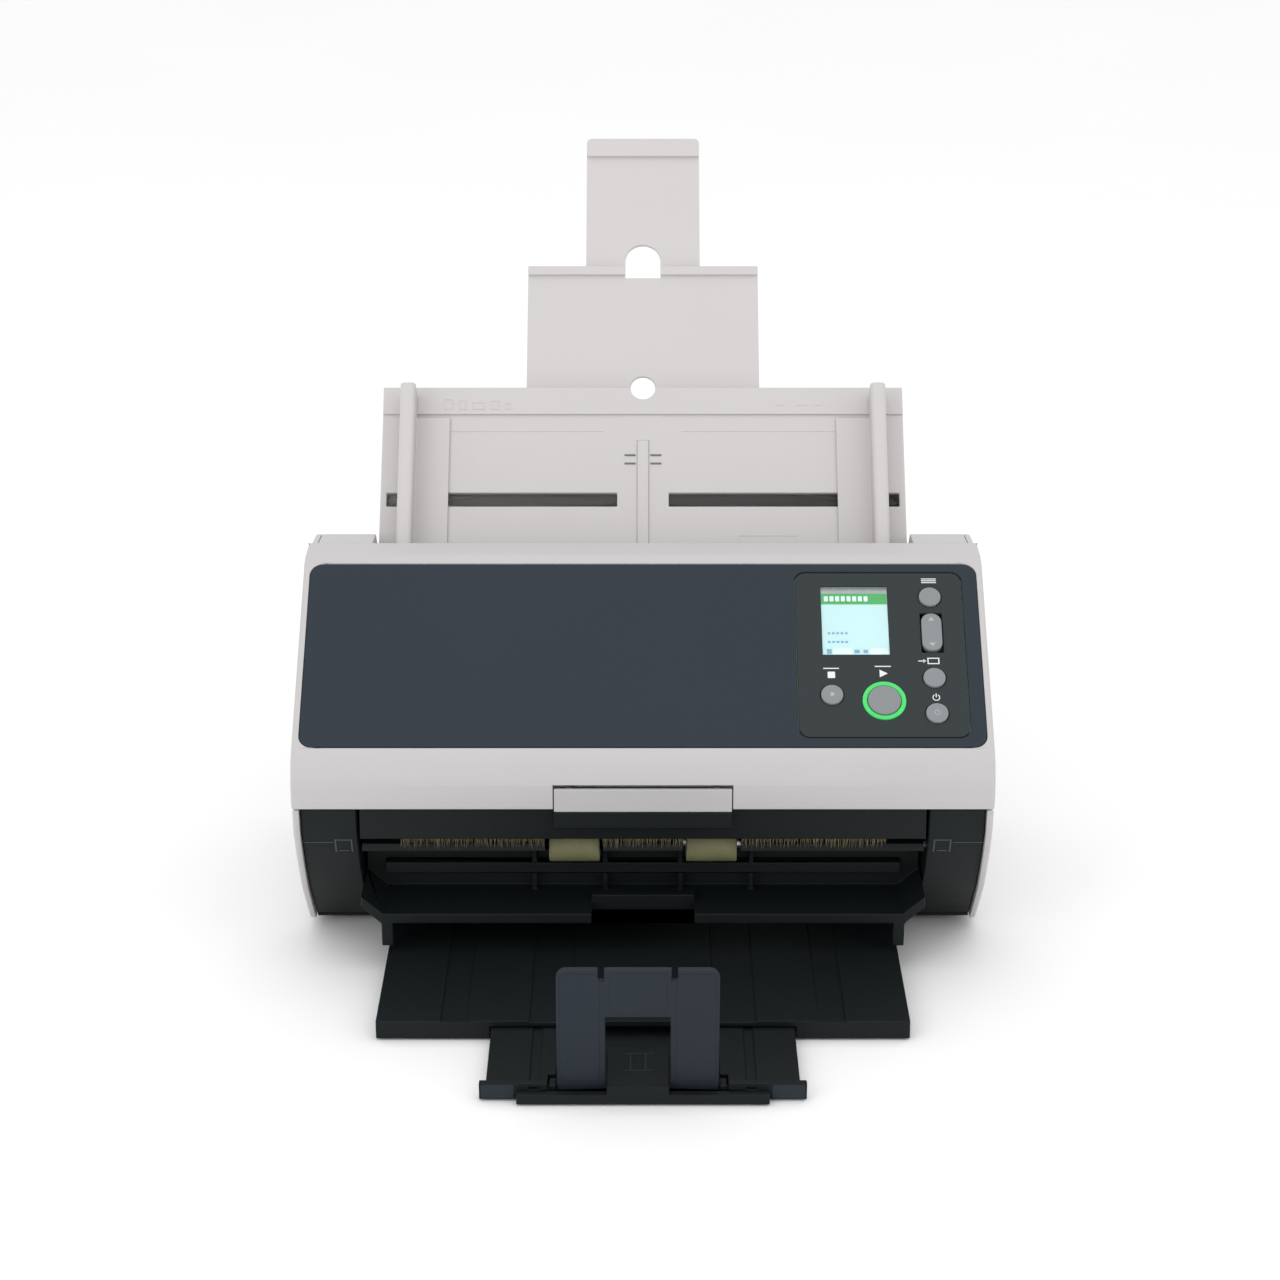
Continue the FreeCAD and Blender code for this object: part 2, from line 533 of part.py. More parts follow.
# Chute extension, which hides behind the chute, and its narrow tip behind it.
deep = "pocket_z - ext_t"
ext_body = join("ext_body",
                box("ext_plate", ("-ext_half", "ext_half"), ("ext_low", "ext_top"),
                    (deep, "pocket_z")),
                box("ext_lip", ("-ext_half", "ext_half"), ("ext_top - 4.6", "ext_top"),
                    ("pocket_z - 1", "pocket_z + 1.6")))
ext_cuts = [
    box("tip_channel", ("-tip_half - 0.4", "tip_half + 0.4"), ("ext_low - 1", "ext_top + 1"),
        (deep + " - 1", "pocket_z - 1.5")),
    arch("ext_thumb", "5.9", "chute_top - 7", "chute_top + 8.5", ("-20", "0")),
    box("ext_notch", ("-8.4", "8.4"), ("ext_top - 5.6", "ext_top + 1"), ("-20", "0")),
]
for side in SIDES:
    ext_cuts.append(box(side + "_ext_light", both(side, "tip_half + 2.6", "ext_half - 2"),
                        ("ext_low + 3", "ext_top - 7"), (deep + " - 1", "pocket_z - 1.5")))
node("chute_extension", cut("ext_cut", ext_body, *ext_cuts), "chute")

tip_z = "pocket_z - 1.8"
tip_body = join("tip_body",
                box("tip_plate", ("-tip_half", "tip_half"), ("tip_low", "tip_top"),
                    (tip_z + " - tip_t", tip_z)),
                box("tip_lip", ("-tip_half", "tip_half"), ("tip_top - 9.6", "tip_top"),
                    (tip_z + " - tip_t", tip_z + " + 1.6")))
tip_body = soften("tip_soft", tip_body, 2.5, AZ, lambda p: p.y > val("tip_top") - 1)
node("extension_tip", cut("tip_cut", tip_body,
     arch("tip_thumb", "8.4", "ext_top - 8", "ext_top + 13", ("-20", "0"))), "chute")


def toothed(length, start, reach, height, upward):
    """A rack's outline: a bar along X with a tooth at every whole pitch."""
    pitch = 2 * math.pi * val("pinion_r") / 14
    sign = 1 if upward else -1
    root = val("slot_y") - sign * (val("pinion_r") + 1.05)
    tip = val("slot_y") - sign * (val("pinion_r") - 0.85)
    points = [Vec(start, root - sign * height, 0), Vec(start, root, 0)]
    first = math.ceil((start + 1.2) / pitch)
    last = math.floor((start + length - 1.2) / pitch)
    for number in range(first, last + 1):
        middle = number * pitch
        points += [Vec(middle - 0.95, root, 0), Vec(middle - 0.32, tip, 0),
                   Vec(middle + 0.32, tip, 0), Vec(middle + 0.95, root, 0)]
    points += [Vec(start + length, root, 0), Vec(start + length, root - sign * height, 0)]
    face = Part.Face(Part.makePolygon(points + points[:1]))
    return face.extrude(Vec(0, 0, reach))


def pinion_shape(reach):
    """A pinion of fourteen tapered teeth, a gap on the lines that face both racks."""
    points = []
    for number in range(14):
        aim = 2 * math.pi * (number + 0.5) / 14 + math.pi / 2
        for swing, radius in ((-0.150, 5.9), (-0.055, 7.8), (0.055, 7.8), (0.150, 5.9)):
            points.append(Vec(radius * math.cos(aim + swing), radius * math.sin(aim + swing), 0))
    face = Part.Face(Part.makePolygon(points + points[:1]))
    return face.extrude(Vec(0, 0, reach)).cut(Part.makeCylinder(2.06, reach))


pinion = fresh("Part::Feature", "pinion_gear")
pinion.Shape = pinion_shape(2.5)
pinion.Placement = FreeCAD.Placement(Vec(0, val("slot_y"), val("rack_z")), FreeCAD.Rotation())
node("guide_pinion", pinion, "chute")

# Side guides: a hollow wall, a foot plate under the sheet's edge and a rack behind the skin.
for side in SIDES:
    rack = fresh("Part::Feature", side + "_rack")
    outer = val("guide_x") + val("guide_t")
    if side == "left":
        rack.Shape = toothed(outer + 12, -outer, 2.5, 3.4, False)
        web = ("slot_y - slot_half + 0.2", "slot_y + pinion_r + 3")
    else:
        rack.Shape = toothed(outer + 12, -12, 2.5, 3.4, True)
        web = ("slot_y - pinion_r - 3", "slot_y + slot_half - 0.2")
    rack.Placement = FreeCAD.Placement(Vec(0, 0, val("rack_z")), FreeCAD.Rotation())
    wall = box(side + "_guide_wall", both(side, "guide_x", "guide_x + guide_t"), ("-12", "77"),
               ("1", "guide_tall"))
    wall = soften(side + "_wall_soft", wall, 2.2, AY, lambda p: p.z > 10)
    hollow = box(side + "_wall_hollow",
                 both(side, "guide_x + 1.6", "guide_x + guide_t - 1.6"), ("-10", "75"),
                 ("-1", "guide_tall - 2"))
    foot = box(side + "_guide_foot", both(side, "guide_x - 15.5", "guide_x + 1"), ("-10", "65"),
               ("0.3", "1.5"))
    neck = box(side + "_guide_neck", both(side, "guide_x - 5", "guide_x + guide_t - 0.6"),
               ("slot_y - slot_half + 0.2", "slot_y + slot_half - 0.2"), ("rack_z", "1"))
    bridge = box(side + "_guide_bridge", both(side, "guide_x - 5", "guide_x + guide_t - 0.6"),
                 web, ("rack_z", "rack_z + 2.5"))
    node(side + "_side_guide", join(side + "_guide_body", cut(side + "_wall_cut", wall, hollow),
                                    foot, neck, bridge, rack), "chute")

# ---------------------------------------------------------------- top unit

PANEL_TOP = ("panel_y + panel_len * cos(panel_tilt)", "panel_z + panel_len * sin(panel_tilt)")
HOOD = [("lip_y", "band_z"), ("lip_y + 0.1", "88"), ("2.8", "97.2"), ("panel_y", "panel_z"),
        PANEL_TOP, ("87.4", "top_z - 0.5"), ("103", "top_z"), ("nose_y", "159.6"),
        ("nose_y", "154"), ("105", "150"), ("92.5", "144.3"), ("35.6", "band_z")]
ROOM = [("2", "60"), ("2", "88"), ("5.4", "95.5"), ("10.8", "99"), ("84.3", "156.8"),
        ("88.6", "160"), ("102.4", "160.2"), ("103.4", "158.6"), ("103.4", "140"), ("60", "60")]
hood = prism("hood", HOOD, ("-body_half", "body_half"))
hood = soften("hood_soft", hood, 3, AX, lambda p: p.z > 161.5 or (p.y > 100 and p.z > 158))
room = prism("hood_room", ROOM, ("-cheek_out - 0.5", "cheek_out + 0.5"))
recess = box("panel_recess", ("-panel_half - 0.2", "panel_half + 0.2"),
             ("0.2", "panel_len - 0.4"), ("-panel_t", "6"))
recess = soften("recess_soft", recess, 6, AZ, lambda p: True)
desk_hole = box("desk_hole", ("desk_left + 2", "desk_right - 2"), ("desk_low + 2", "desk_high - 2"),
                ("-9", "3"))
hood_cuts = [room, lay("panel", recess), lay("panel", desk_hole),
             box("tab_notch", ("-38.4", "38.4"), ("-3", "5"), ("70", "88.5"))]
for side in SIDES:
    hood_cuts.append(box(side + "_ear_notch", both(side, "123.8", "127.6"), ("102", "109"),
                         ("145", "156")))
node("top_cover", cut("hood_cut", hood, *hood_cuts))

# Front panel: one dark gloss plate with an opening for the operator's keys.
plate = box("front_plate", ("-panel_half", "panel_half"), ("0.35", "panel_len - 0.55"),
            ("-panel_t + 0.05", "0"))
plate = soften("front_plate_soft", plate, 5.8, AZ, lambda p: True)
opening = box("front_opening", ("desk_left", "desk_right"), ("desk_low", "desk_high"), ("-5", "3"))
opening = soften("opening_soft", opening, 5, AZ, lambda p: True)
node("front_panel", cut("front_plate_cut", plate, opening), "panel")

# Operator panel: carries the screen and the keys, and posts that hold the key board.
KEYS = {"menu": ("key_x", "75.8"), "feed_mode": ("key_x", "34.6"), "power": ("key_x + 0.3", "17"),
        "stop": ("81.5", "26.1")}
ROCKER_Y = "57.6"
SCAN = ("scan_x", "scan_y")
face = box("desk_plate", ("desk_left + gap_t", "desk_right - gap_t"),
           ("desk_low + gap_t", "desk_high - gap_t"), ("-panel_t", "-0.1"))
face = soften("desk_plate_soft", face, 4.6, AZ, lambda p: True)
posts = [peg("desk_post_%s_%s" % (x, y), x, y, ("board_z", "-1"), "1.8")
         for x in ("74", "134") for y in ("11", "84")]
holes = [box("screen_hole", ("screen_left", "screen_right"), ("screen_low", "screen_high"),
             ("-5", "3")),
         peg("scan_hole", SCAN[0], SCAN[1], ("-5", "3"), "ring_r + 0.1"),
         box("rocker_hole", ("key_x - 4.8", "key_x + 4.8"),
             (ROCKER_Y + " - 10", ROCKER_Y + " + 10"), ("-5", "3"))]
for label, (x, y) in KEYS.items():
    holes.append(peg(label + "_hole", x, y, ("-5", "3"), "key_r + 0.35"))
node("operator_panel", cut("desk_cut", join("desk_body", face, *posts), *holes), "panel")

node("screen_window", box("screen_pane", ("screen_left + 0.1", "screen_right - 0.1"),
                          ("screen_low + 0.1", "screen_high - 0.1"), ("-1.9", "-0.7")), "panel")
node("screen_module", box("screen_block", ("screen_left - 1.5", "screen_right + 1.5"),
                          ("screen_low - 3", "screen_high + 2"), ("-5.5", "-2.1")), "panel")
ring = cut("ring_cut", join("ring_body", peg("ring_top", SCAN[0], SCAN[1], ("-3", "0.3"), "ring_r"),
                            peg("ring_foot", SCAN[0], SCAN[1], ("-3.2", "-2.1"), "ring_r + 1")),
           peg("ring_hole", SCAN[0], SCAN[1], ("-6", "3"), "scan_r + 0.35"))
node("scan_ring", ring, "panel")


def key(label, x, y, radius, sill):
    """A round key: cap, flange that stops it coming out, and a stem over its switch."""
    cap = peg(label + "_cap", x, y, (sill, "key_up"), radius)
    doc.recompute()
    soft = fresh("Part::Fillet", label + "_cap_soft")
    soft.Base = cap
    rims = [number for number, edge in enumerate(cap.Shape.Edges, 1)
            if edge.Closed and edge.CenterOfMass.z > 0.5]
    soft.Edges = [(number, 0.5, 0.5) for number in rims]
    flange = peg(label + "_flange", x, y, (sill + " - 0.9", sill + " + 0.1"), radius + " + 0.8")
    stem = peg(label + "_stem", x, y, ("-5.4", sill), "2")
    return node(label + "_button", join(label + "_button_body", soft, flange, stem), "panel")


for label, (x, y) in KEYS.items():
    key(label, x, y, "key_r", "-2.4")
key("scan", SCAN[0], SCAN[1], "scan_r", "-3.6")
rocker = box("rocker_cap", ("key_x - 4.4", "key_x + 4.4"),
             (ROCKER_Y + " - 9.4", ROCKER_Y + " + 9.4"), ("-2.2", "key_up"))
rocker = soften("rocker_soft", rocker, 4.2, AZ, lambda p: True)
keel = box("rocker_keel", ("key_x - 3", "key_x + 3"), (ROCKER_Y + " - 1.5", ROCKER_Y + " + 1.5"),
           ("-5.4", "-2"))
pivot = rod("rocker_pivot", ("key_x - 4", "key_x + 4"), ROCKER_Y, "-2.2", "0.8")
node("select_rocker", join("rocker_body", rocker, keel, pivot), "panel")

key_board = box("key_board_plate", ("desk_left + 4", "desk_right - 4"),
                ("desk_low + 2.5", "desk_high - 2.5"), ("board_z - 1.6", "board_z - 0.1"))
switches = []
for label, (x, y) in list(KEYS.items()) + [("scan", SCAN)]:
    switches.append(join(label + "_switch",
                         box(label + "_switch_can", (x + " - 3", x + " + 3"),
                             (y + " - 3", y + " + 3"), ("board_z", "board_z + 3")),
                         peg(label + "_switch_pin", x, y, ("board_z + 2", "board_z + 3.9"), "1.6")))
for name, shift in (("low", "- 6.5"), ("high", "+ 6.5")):
    y = ROCKER_Y + " " + shift
    switches.append(box("rocker_switch_" + name, ("key_x - 2.5", "key_x + 2.5"),
                        (y + " - 2.5", y + " + 2.5"), ("board_z", "board_z + 6.8")))
switches.append(box("rocker_saddle", ("key_x - 2", "key_x + 2"),
                    (ROCKER_Y + " - 1", ROCKER_Y + " + 1"), ("board_z", "-6")))
node("key_board", group("switch_set", key_board, *switches), "panel")

# Upper guide and upper image sensor, facing the lower ones across the paper gap.
UPPER = [("102.8", "149"), ("104.5", "128"), ("99.3", "116.7"), ("66.9", "78.5"), ("24", "61.2"),
         ("4.4", "61.6"), ("4.4", "76.9"), ("6", "76.9"), ("6", "63.2"), ("24.6", "62.9"), ("65.6", "80.3"), ("97.4", "117.6"),
         ("102.3", "128.4"), ("100.8", "149")]
upper = prism("upper_sheet", UPPER, ("-121.6", "121.6"))
windows = [
    lay("chute", box("brake_window", ("-16.4", "16.4"), ("pick_y - 12", "pick_y + 12"),
                     ("-2", "30"))),
    lay("chute", box("upper_bar_window", ("-114", "114"), ("scan_bar_y - 8", "scan_bar_y + 8"),
                     ("-1", "8"))),
]
for side in SIDES:
    windows.append(lay("chute", box(side + "_idler_window", both(side, "34", "56"),
                                    ("feed_y - 6.5", "feed_y + 6.5"), ("-1", "8"))))
    windows.append(box(side + "_exit_window",
                       both(side, "roller_x - 12.5", "roller_x + 12.5"),
                       ("eject_y - 7.5", "eject_y + 7"), ("55", "68")))
node("upper_paper_guide", cut("upper_guide_cut", upper, *windows))
node("upper_scan_unit", cut("upper_unit_cut",
     box("upper_unit", ("-113.5", "113.5"), ("scan_bar_y - 7.5", "scan_bar_y + 7.5"),
         ("2", "17")),
     box("upper_seat", ("-111.3", "111.3"), ("scan_bar_y - 5.2", "scan_bar_y + 5.2"),
         ("1", "3.3")),
     box("upper_light", ("-109", "109"), ("scan_bar_y - 3", "scan_bar_y + 3"),
         ("1", "10"))), "chute")
node("upper_scan_glass", box("upper_glass", ("-111", "111"),
                             ("scan_bar_y - 5", "scan_bar_y + 5"), ("1.9", "3.2")), "chute")

# Brake roller in its holder, and the free pinch rollers.
BRAKE_Z = "pick_z + pick_r + brake_r + nip_t"
IDLER_Z = "feed_z + feed_r + idler_r + nip_t"
EXIT_Z = "eject_z + eject_r + idler_r + nip_t"
roller_set("brake_roller", [("-13", "13")], "pick_y", BRAKE_Z, "brake_r", "2.05", "chute")
holder = [box("holder_bridge", ("-19.5", "19.5"), ("pick_y - 8", "pick_y + 4"),
              (BRAKE_Z + " + brake_r + 1", BRAKE_Z + " + brake_r + 3"))]
for side in SIDES:
    holder.append(box(side + "_holder_cheek", both(side, "17.5", "19.5"),
                      ("pick_y - 8", "pick_y + 4"), (BRAKE_Z + " - 2.8", BRAKE_Z + " + brake_r + 2")))
node("brake_holder", join("holder_body", rod("brake_axle", ("-18", "18"), "pick_y", BRAKE_Z, "2"),
                          *holder), "chute")
roller_set("feed_idlers", [("-53", "-37"), ("37", "53")], "feed_y", IDLER_Z, "idler_r", "1.55",
           "chute")
pair = [both(side, "roller_x - 9", "roller_x + 9") for side in SIDES]
roller_set("eject_idlers", pair, "eject_y", EXIT_Z, "idler_r", "1.55", "body")
axles = [lay("chute", rod("feed_idler_axle", ("-60", "60"), "feed_y", IDLER_Z, "1.5")),
         rod("exit_axle", ("-60", "60"), "eject_y", EXIT_Z, "1.5")]
node("pinch_axles", group("axle_set", *axles))

# Hinge arms hang the top unit on the chassis pins.
arms = []
ARM = [("94.4", "149.6"), ("101.4", "149.6"), ("102.6", "152"), ("102.6", "158.2"),
       ("101", "159.8"), ("89", "159.6"), ("84.2", "156.4"), ("60", "137.3"), ("64", "132.5")]
for side in SIDES:
    arm = prism(side + "_arm_plate", ARM, both(side, "137.5", "140.5"))
    bore = rod(side + "_arm_bore", both(side, "136", "142"), "pivot_y", "pivot_z",
               "pivot_r + 0.06")
    arms.append(cut(side + "_arm_cut", arm, bore))
node("hinge_arms", group("arm_set", *arms))

# Release tab: a light face and a dark finger grip on the shaft that turns both hooks.
face = [("lip_y", "76.3"), ("lip_y + 0.1", "86.8"), ("1.8", "86.8"), ("1.8", "76.3")]
tab = prism("tab_face", face, ("-38", "38"))
tab_arms = [box(side + "_tab_arm", both(side, "30", "33"), ("1.2", "11"), ("81", "86"))
            for side in SIDES]
tab_bore = rod("tab_bore", ("-40", "40"), "10", "84", "1.8")
node("release_tab", cut("tab_cut", join("tab_body", tab, *tab_arms), tab_bore))
node("tab_grip", prism("grip", [("lip_y + 0.2", "68.4"), ("lip_y + 0.1", "76.2"),
                                ("1.8", "76.2"), ("3", "69"), ("2.4", "68")], ("-38", "38")))
HOOK = [("8.2", "84"), ("8.8", "86"), ("11.5", "86"), ("13.6", "82"), ("14", "68.2"),
        ("18", "68"), ("17.2", "66.2"), ("11.4", "66.2")]
node("latch_shaft", join("latch_body", rod("latch_rod", ("-130", "130"), "10", "84", "1.8"),
     *[prism(side + "_hook", HOOK, both(side, "126.4", "129.4")) for side in SIDES]))

# ---------------------------------------------------------------- stacker

tray_parts = [
    box("tray_plate", ("-tray_half", "tray_half"), ("tray_front", "tray_rear"),
        ("tray_z - tray_t", "tray_z")),
    box("tray_lip", ("-tray_half", "tray_half"), ("tray_front", "tray_front + 3"),
        ("desk_gap", "tray_z")),
]
for side in SIDES:
    tray_parts.append(box(side + "_skirt", both(side, "tray_half - 2", "tray_half"),
                          ("tray_front", "tray_rear"), ("4.9", "tray_z")))
    tray_parts.append(box(side + "_keeper", both(side, "slide_half + 0.6", "slide_half + 2.4"),
                          ("tray_front", "tray_rear - 6"), ("2.3", "tray_z")))
    tray_parts.append(box(side + "_ledge", both(side, "slide_half - 3", "slide_half + 1"),
                          ("-40", "tray_rear - 6"), ("desk_gap", "2.3")))
    tray_parts.append(box(side + "_ledge_web", both(side, "slide_half + 0.6", "slide_half + 2.4"),
                          ("-40", "tray_rear - 6"), ("desk_gap", "4")))
tray_cuts = [box("lip_gate", ("-slide_half - 0.6", "slide_half + 0.6"),
                 ("tray_front - 1", "tray_front + 4"), ("0", "tray_z - tray_t"))]
for side in SIDES:
    for number, (low, high) in enumerate((("73", "84"), ("29.5", "47"))):
        tray_cuts.append(box("%s_channel_%d" % (side, number), both(side, low, high),
                             ("tray_front - 1", "tray_rear + 1"), ("tray_z - 0.6", "tray_z + 1")))
node("stacker", cut("tray_cut", join("tray_body", *tray_parts), *tray_cuts))

# Stacker extension: open in front for the end slide's stopper.
STOP_BAY = ("stop_x - stop_half - 3.8", "stop_x + stop_half + 3.8")
slide_parts = [
    box("slide_plate", ("-slide_half", "slide_half"), ("slide_front", "-3"),
        ("slide_z - slide_t", "slide_z")),
    prism("slide_lip", [("-slide_half - 2.5", "desk_gap"), ("slide_half + 2.5", "desk_gap"),
                        ("slide_half + 2.5", "8"), ("-slide_half - 2.5", "8")],
          ("slide_front", "slide_front + 3"), "y"),
]
slide_cuts = [
    box("stop_bay", ("stop_x - stop_half - 0.6", "stop_x + stop_half + 0.6"),
        ("slide_front - 1", "-52"), ("0", "10")),
    box("lug_bay", STOP_BAY, ("slide_front - 1", "-101"), ("0", "10")),
    box("end_gate", ("-end_half - 0.5", "end_half + 0.5"), ("slide_front - 1", "slide_front + 4"),
        ("0", "2.6")),
]
for side in SIDES:
    slide_cuts.append(box(side + "_groove", both(side, "41.5", "45.5"), ("slide_front - 1", "0"),
                          ("slide_z - 0.6", "slide_z + 0.4")))
node("stacker_extension", cut("slide_cut", join("slide_body", *slide_parts), *slide_cuts))

# End slide: a thin tongue under the extension with a front bar and the stopper's lugs.
PIN_X = ("stop_x - stop_half - 3", "stop_x + stop_half + 3")
end_parts = [
    box("end_plate", ("-end_half", "end_half"), ("end_front", "-20"), ("desk_gap", "end_z")),
    box("end_bar", ("-end_half", "end_half"), ("end_front", "slide_front - 0.4"),
        ("desk_gap", "5")),
    box("end_tongue", ("stop_x - stop_in + 0.8", "stop_x + stop_in - 0.8"),
        ("end_front", "-78"), ("desk_gap", "slide_z - 0.2")),
    box("end_block", ("stop_x - stop_in + 0.6", "stop_x + stop_in - 0.6"),
        ("end_front", "slide_front - 0.4"), ("desk_gap", "8.7")),
    box("end_lug_low", (PIN_X[0], "stop_x - stop_half - 0.5"), ("-111.4", "-105"),
        ("1", "stop_z + 2")),
    box("end_lug_high", ("stop_x + stop_half + 0.5", PIN_X[1]), ("-111.4", "-105"),
        ("1", "stop_z + 2")),
]
end_body = cut("end_cut", join("end_body", *end_parts),
               rod("end_bore", (PIN_X[0] + " - 1", PIN_X[1] + " + 1"), "stop_y", "stop_z",
                   "0.9 + 0.05"))
node("end_slide", end_body)

# Stopper: two posts joined by a cross panel, with stub pins in the end slide's lugs.
SPAN = ("stop_x - stop_half", "stop_x + stop_half")
flap = box("stop_plate", SPAN, ("stop_y - stop_t / 2", "stop_y + stop_t / 2"),
           ("stop_z - stop_t / 2", "stop_z + stop_tall"))
flap = soften("stop_soft", flap, 4, AY, lambda p: p.z > 40)
flap = soften("stop_foot_soft", flap, 1.6, AX, lambda p: p.z < 5)
flap_cuts = [box("stop_gap", ("stop_x - stop_in", "stop_x + stop_in"), ("-120", "-100"),
                 ("0", "36"))]
for sign in ("-", "+"):
    x = "stop_x %s (stop_in + 1.6)" % sign
    flap_cuts.append(box("stop_nick" + ("_a" if sign == "-" else "_b"), (x + " - 1.2", x + " + 1.2"),
                         ("-120", "-100"), ("stop_z + stop_tall - 5", "60")))
flap = cut("stop_cut", flap, *flap_cuts)
node("stopper", join("stop_body", flap,
     rod("stop_pin_low", (PIN_X[0], "stop_x - stop_half + 2"), "stop_y", "stop_z", "0.9"),
     rod("stop_pin_high", ("stop_x + stop_half - 2", PIN_X[1]), "stop_y", "stop_z", "0.9")))

# ---------------------------------------------------------------- check and export

doc.recompute()
for item in doc.Objects:
    if "Invalid" in item.State or "Error" in item.State:
        raise RuntimeError("object %s: %s" % (item.Name, item.State))
os.makedirs("parts", exist_ok=True)
for piece in nodes:
    shape = piece.Shape
    if shape.isNull() or not shape.isValid() or not shape.Solids:
        raise RuntimeError("node %s has no valid solid" % piece.Label)
    shape.exportStep("parts/%s.step" % piece.Label)
print(len(nodes), "nodes")
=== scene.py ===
import json
import math
import random

import bmesh
import bpy
from mathutils import Matrix, Vector

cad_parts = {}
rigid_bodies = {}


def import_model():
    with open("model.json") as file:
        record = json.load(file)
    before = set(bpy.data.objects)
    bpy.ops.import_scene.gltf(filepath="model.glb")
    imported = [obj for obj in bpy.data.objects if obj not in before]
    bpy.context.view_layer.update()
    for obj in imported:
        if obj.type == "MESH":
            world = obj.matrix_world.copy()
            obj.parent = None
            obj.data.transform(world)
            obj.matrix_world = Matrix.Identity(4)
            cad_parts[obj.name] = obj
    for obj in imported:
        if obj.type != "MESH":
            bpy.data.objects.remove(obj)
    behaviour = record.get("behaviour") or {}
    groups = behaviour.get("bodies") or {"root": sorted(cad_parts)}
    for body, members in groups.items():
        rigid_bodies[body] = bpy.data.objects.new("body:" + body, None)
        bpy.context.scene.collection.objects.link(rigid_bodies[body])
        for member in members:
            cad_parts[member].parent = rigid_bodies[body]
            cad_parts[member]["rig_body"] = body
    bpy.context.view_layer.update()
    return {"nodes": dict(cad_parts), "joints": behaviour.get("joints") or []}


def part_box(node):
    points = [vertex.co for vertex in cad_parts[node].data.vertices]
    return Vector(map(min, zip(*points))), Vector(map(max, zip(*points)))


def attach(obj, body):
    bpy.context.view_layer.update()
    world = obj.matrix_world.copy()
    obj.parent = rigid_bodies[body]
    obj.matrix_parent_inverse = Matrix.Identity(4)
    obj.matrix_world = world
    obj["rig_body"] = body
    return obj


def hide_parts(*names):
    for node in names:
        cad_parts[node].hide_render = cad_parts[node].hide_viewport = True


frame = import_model()

# ---- Side covers -------------------------------------------------------------------------------------
# Two light covers close the casing's sides from the desk to the hood. They are ABS, moulded against a
# spark-eroded tool: it leaves a fine even grain and a satin sheen. Screws from below hold them.


def linear(tint):
    """An sRGB hex value as linear colour with full alpha."""
    parts = [int(tint[i:i + 2], 16) / 255 for i in (1, 3, 5)]
    return [c / 12.92 if c <= 0.04045 else ((c + 0.055) / 1.055) ** 2.4 for c in parts] + [1]


def add(skin, kind, inputs=(), **settings):
    """Adds one node to a material, with its settings, its values and its links."""
    made = skin.node_tree.nodes.new("ShaderNode" + kind)
    for key, value in settings.items():
        setattr(made, key, value)
    for key, value in dict(inputs).items():
        if isinstance(value, bpy.types.NodeSocket):
            skin.node_tree.links.new(value, made.inputs[key])
        else:
            made.inputs[key].default_value = value
    return made


def blank(name):
    """A material with no nodes, and the object coordinates that its patterns follow."""
    skin = bpy.data.materials.new(name)
    skin.use_nodes = True
    skin.node_tree.nodes.clear()
    return skin, add(skin, "TexCoord").outputs["Object"]


def moulded(name, tint, tired, rough, grain_mm, depth, shine=0.5):
    """A moulded plastic: its colour drifts slightly, and the tool's grain breaks up its sheen."""
    skin, place = blank(name)
    drift = add(skin, "TexNoise", {"Vector": place, "Scale": 16, "Detail": 4}).outputs["Fac"]
    grain = add(skin, "TexNoise", {"Vector": place, "Scale": 1000 / grain_mm, "Detail": 3}).outputs["Fac"]
    mix = add(skin, "Math", {0: drift, 1: grain}, operation="MULTIPLY").outputs[0]
    colour = add(skin, "MixRGB", {"Fac": mix, "Color1": linear(tint),
                                  "Color2": linear(tired)}).outputs["Color"]
    sheen = add(skin, "MapRange", {"Value": grain, "To Min": rough - 0.07,
                                   "To Max": rough + 0.08}).outputs[0]
    relief = add(skin, "Bump", {"Height": grain, "Strength": depth, "Distance": 0.00012}).outputs[0]
    body = add(skin, "BsdfPrincipled", {"Base Color": colour, "Roughness": sheen, "Normal": relief,
                                        "IOR": 1.53, "Specular IOR Level": shine})
    add(skin, "OutputMaterial", {"Surface": body.outputs[0]})
    return skin


def eased(name, skin, radius, fine=None, choose=None, merge=True):
    """A part's moulding with its edges rounded, as the mould leaves them. Edges that choose picks get the
    full radius, and all others get the fine one. merge joins flat triangles into whole faces first."""
    source = frame["nodes"][name]
    mesh = source.data.copy()
    work = bmesh.new()
    work.from_mesh(mesh)
    bmesh.ops.remove_doubles(work, verts=work.verts, dist=2e-6)
    if merge:
        bmesh.ops.dissolve_limit(work, angle_limit=math.radians(0.6), verts=work.verts, edges=work.edges)
    weights = work.edges.layers.float.new("bevel_weight_edge")
    for edge in work.edges:
        edge.smooth = True
        if len(edge.link_faces) == 2 and edge.calc_face_angle(0) > math.radians(32):
            full = choose is None or choose(edge.verts[0].co, edge.verts[1].co)
            edge[weights] = 1 if full else (fine or radius) / radius
    for face in work.faces:
        face.smooth = True
    work.to_mesh(mesh)
    work.free()
    # The part's own stored normals no longer fit its merged corners.
    stale = mesh.attributes.get("custom_normal")
    if stale:
        mesh.attributes.remove(stale)
    mesh.materials.clear()
    mesh.materials.append(skin)
    piece = bpy.data.objects.new(name + "_moulding", mesh)
    bpy.context.scene.collection.objects.link(piece)
    bevel = piece.modifiers.new("edges", "BEVEL")
    bevel.width = radius / 1000
    bevel.segments = 3
    bevel.limit_method = "WEIGHT"
    bevel.use_clamp_overlap = False
    bevel.harden_normals = True
    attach(piece, source["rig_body"])
    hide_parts(name)
    return piece


def finish_node(name, skin):
    """Gives a CAD part its real finish."""
    mesh = frame["nodes"][name].data
    mesh.materials.clear()
    mesh.materials.append(skin)


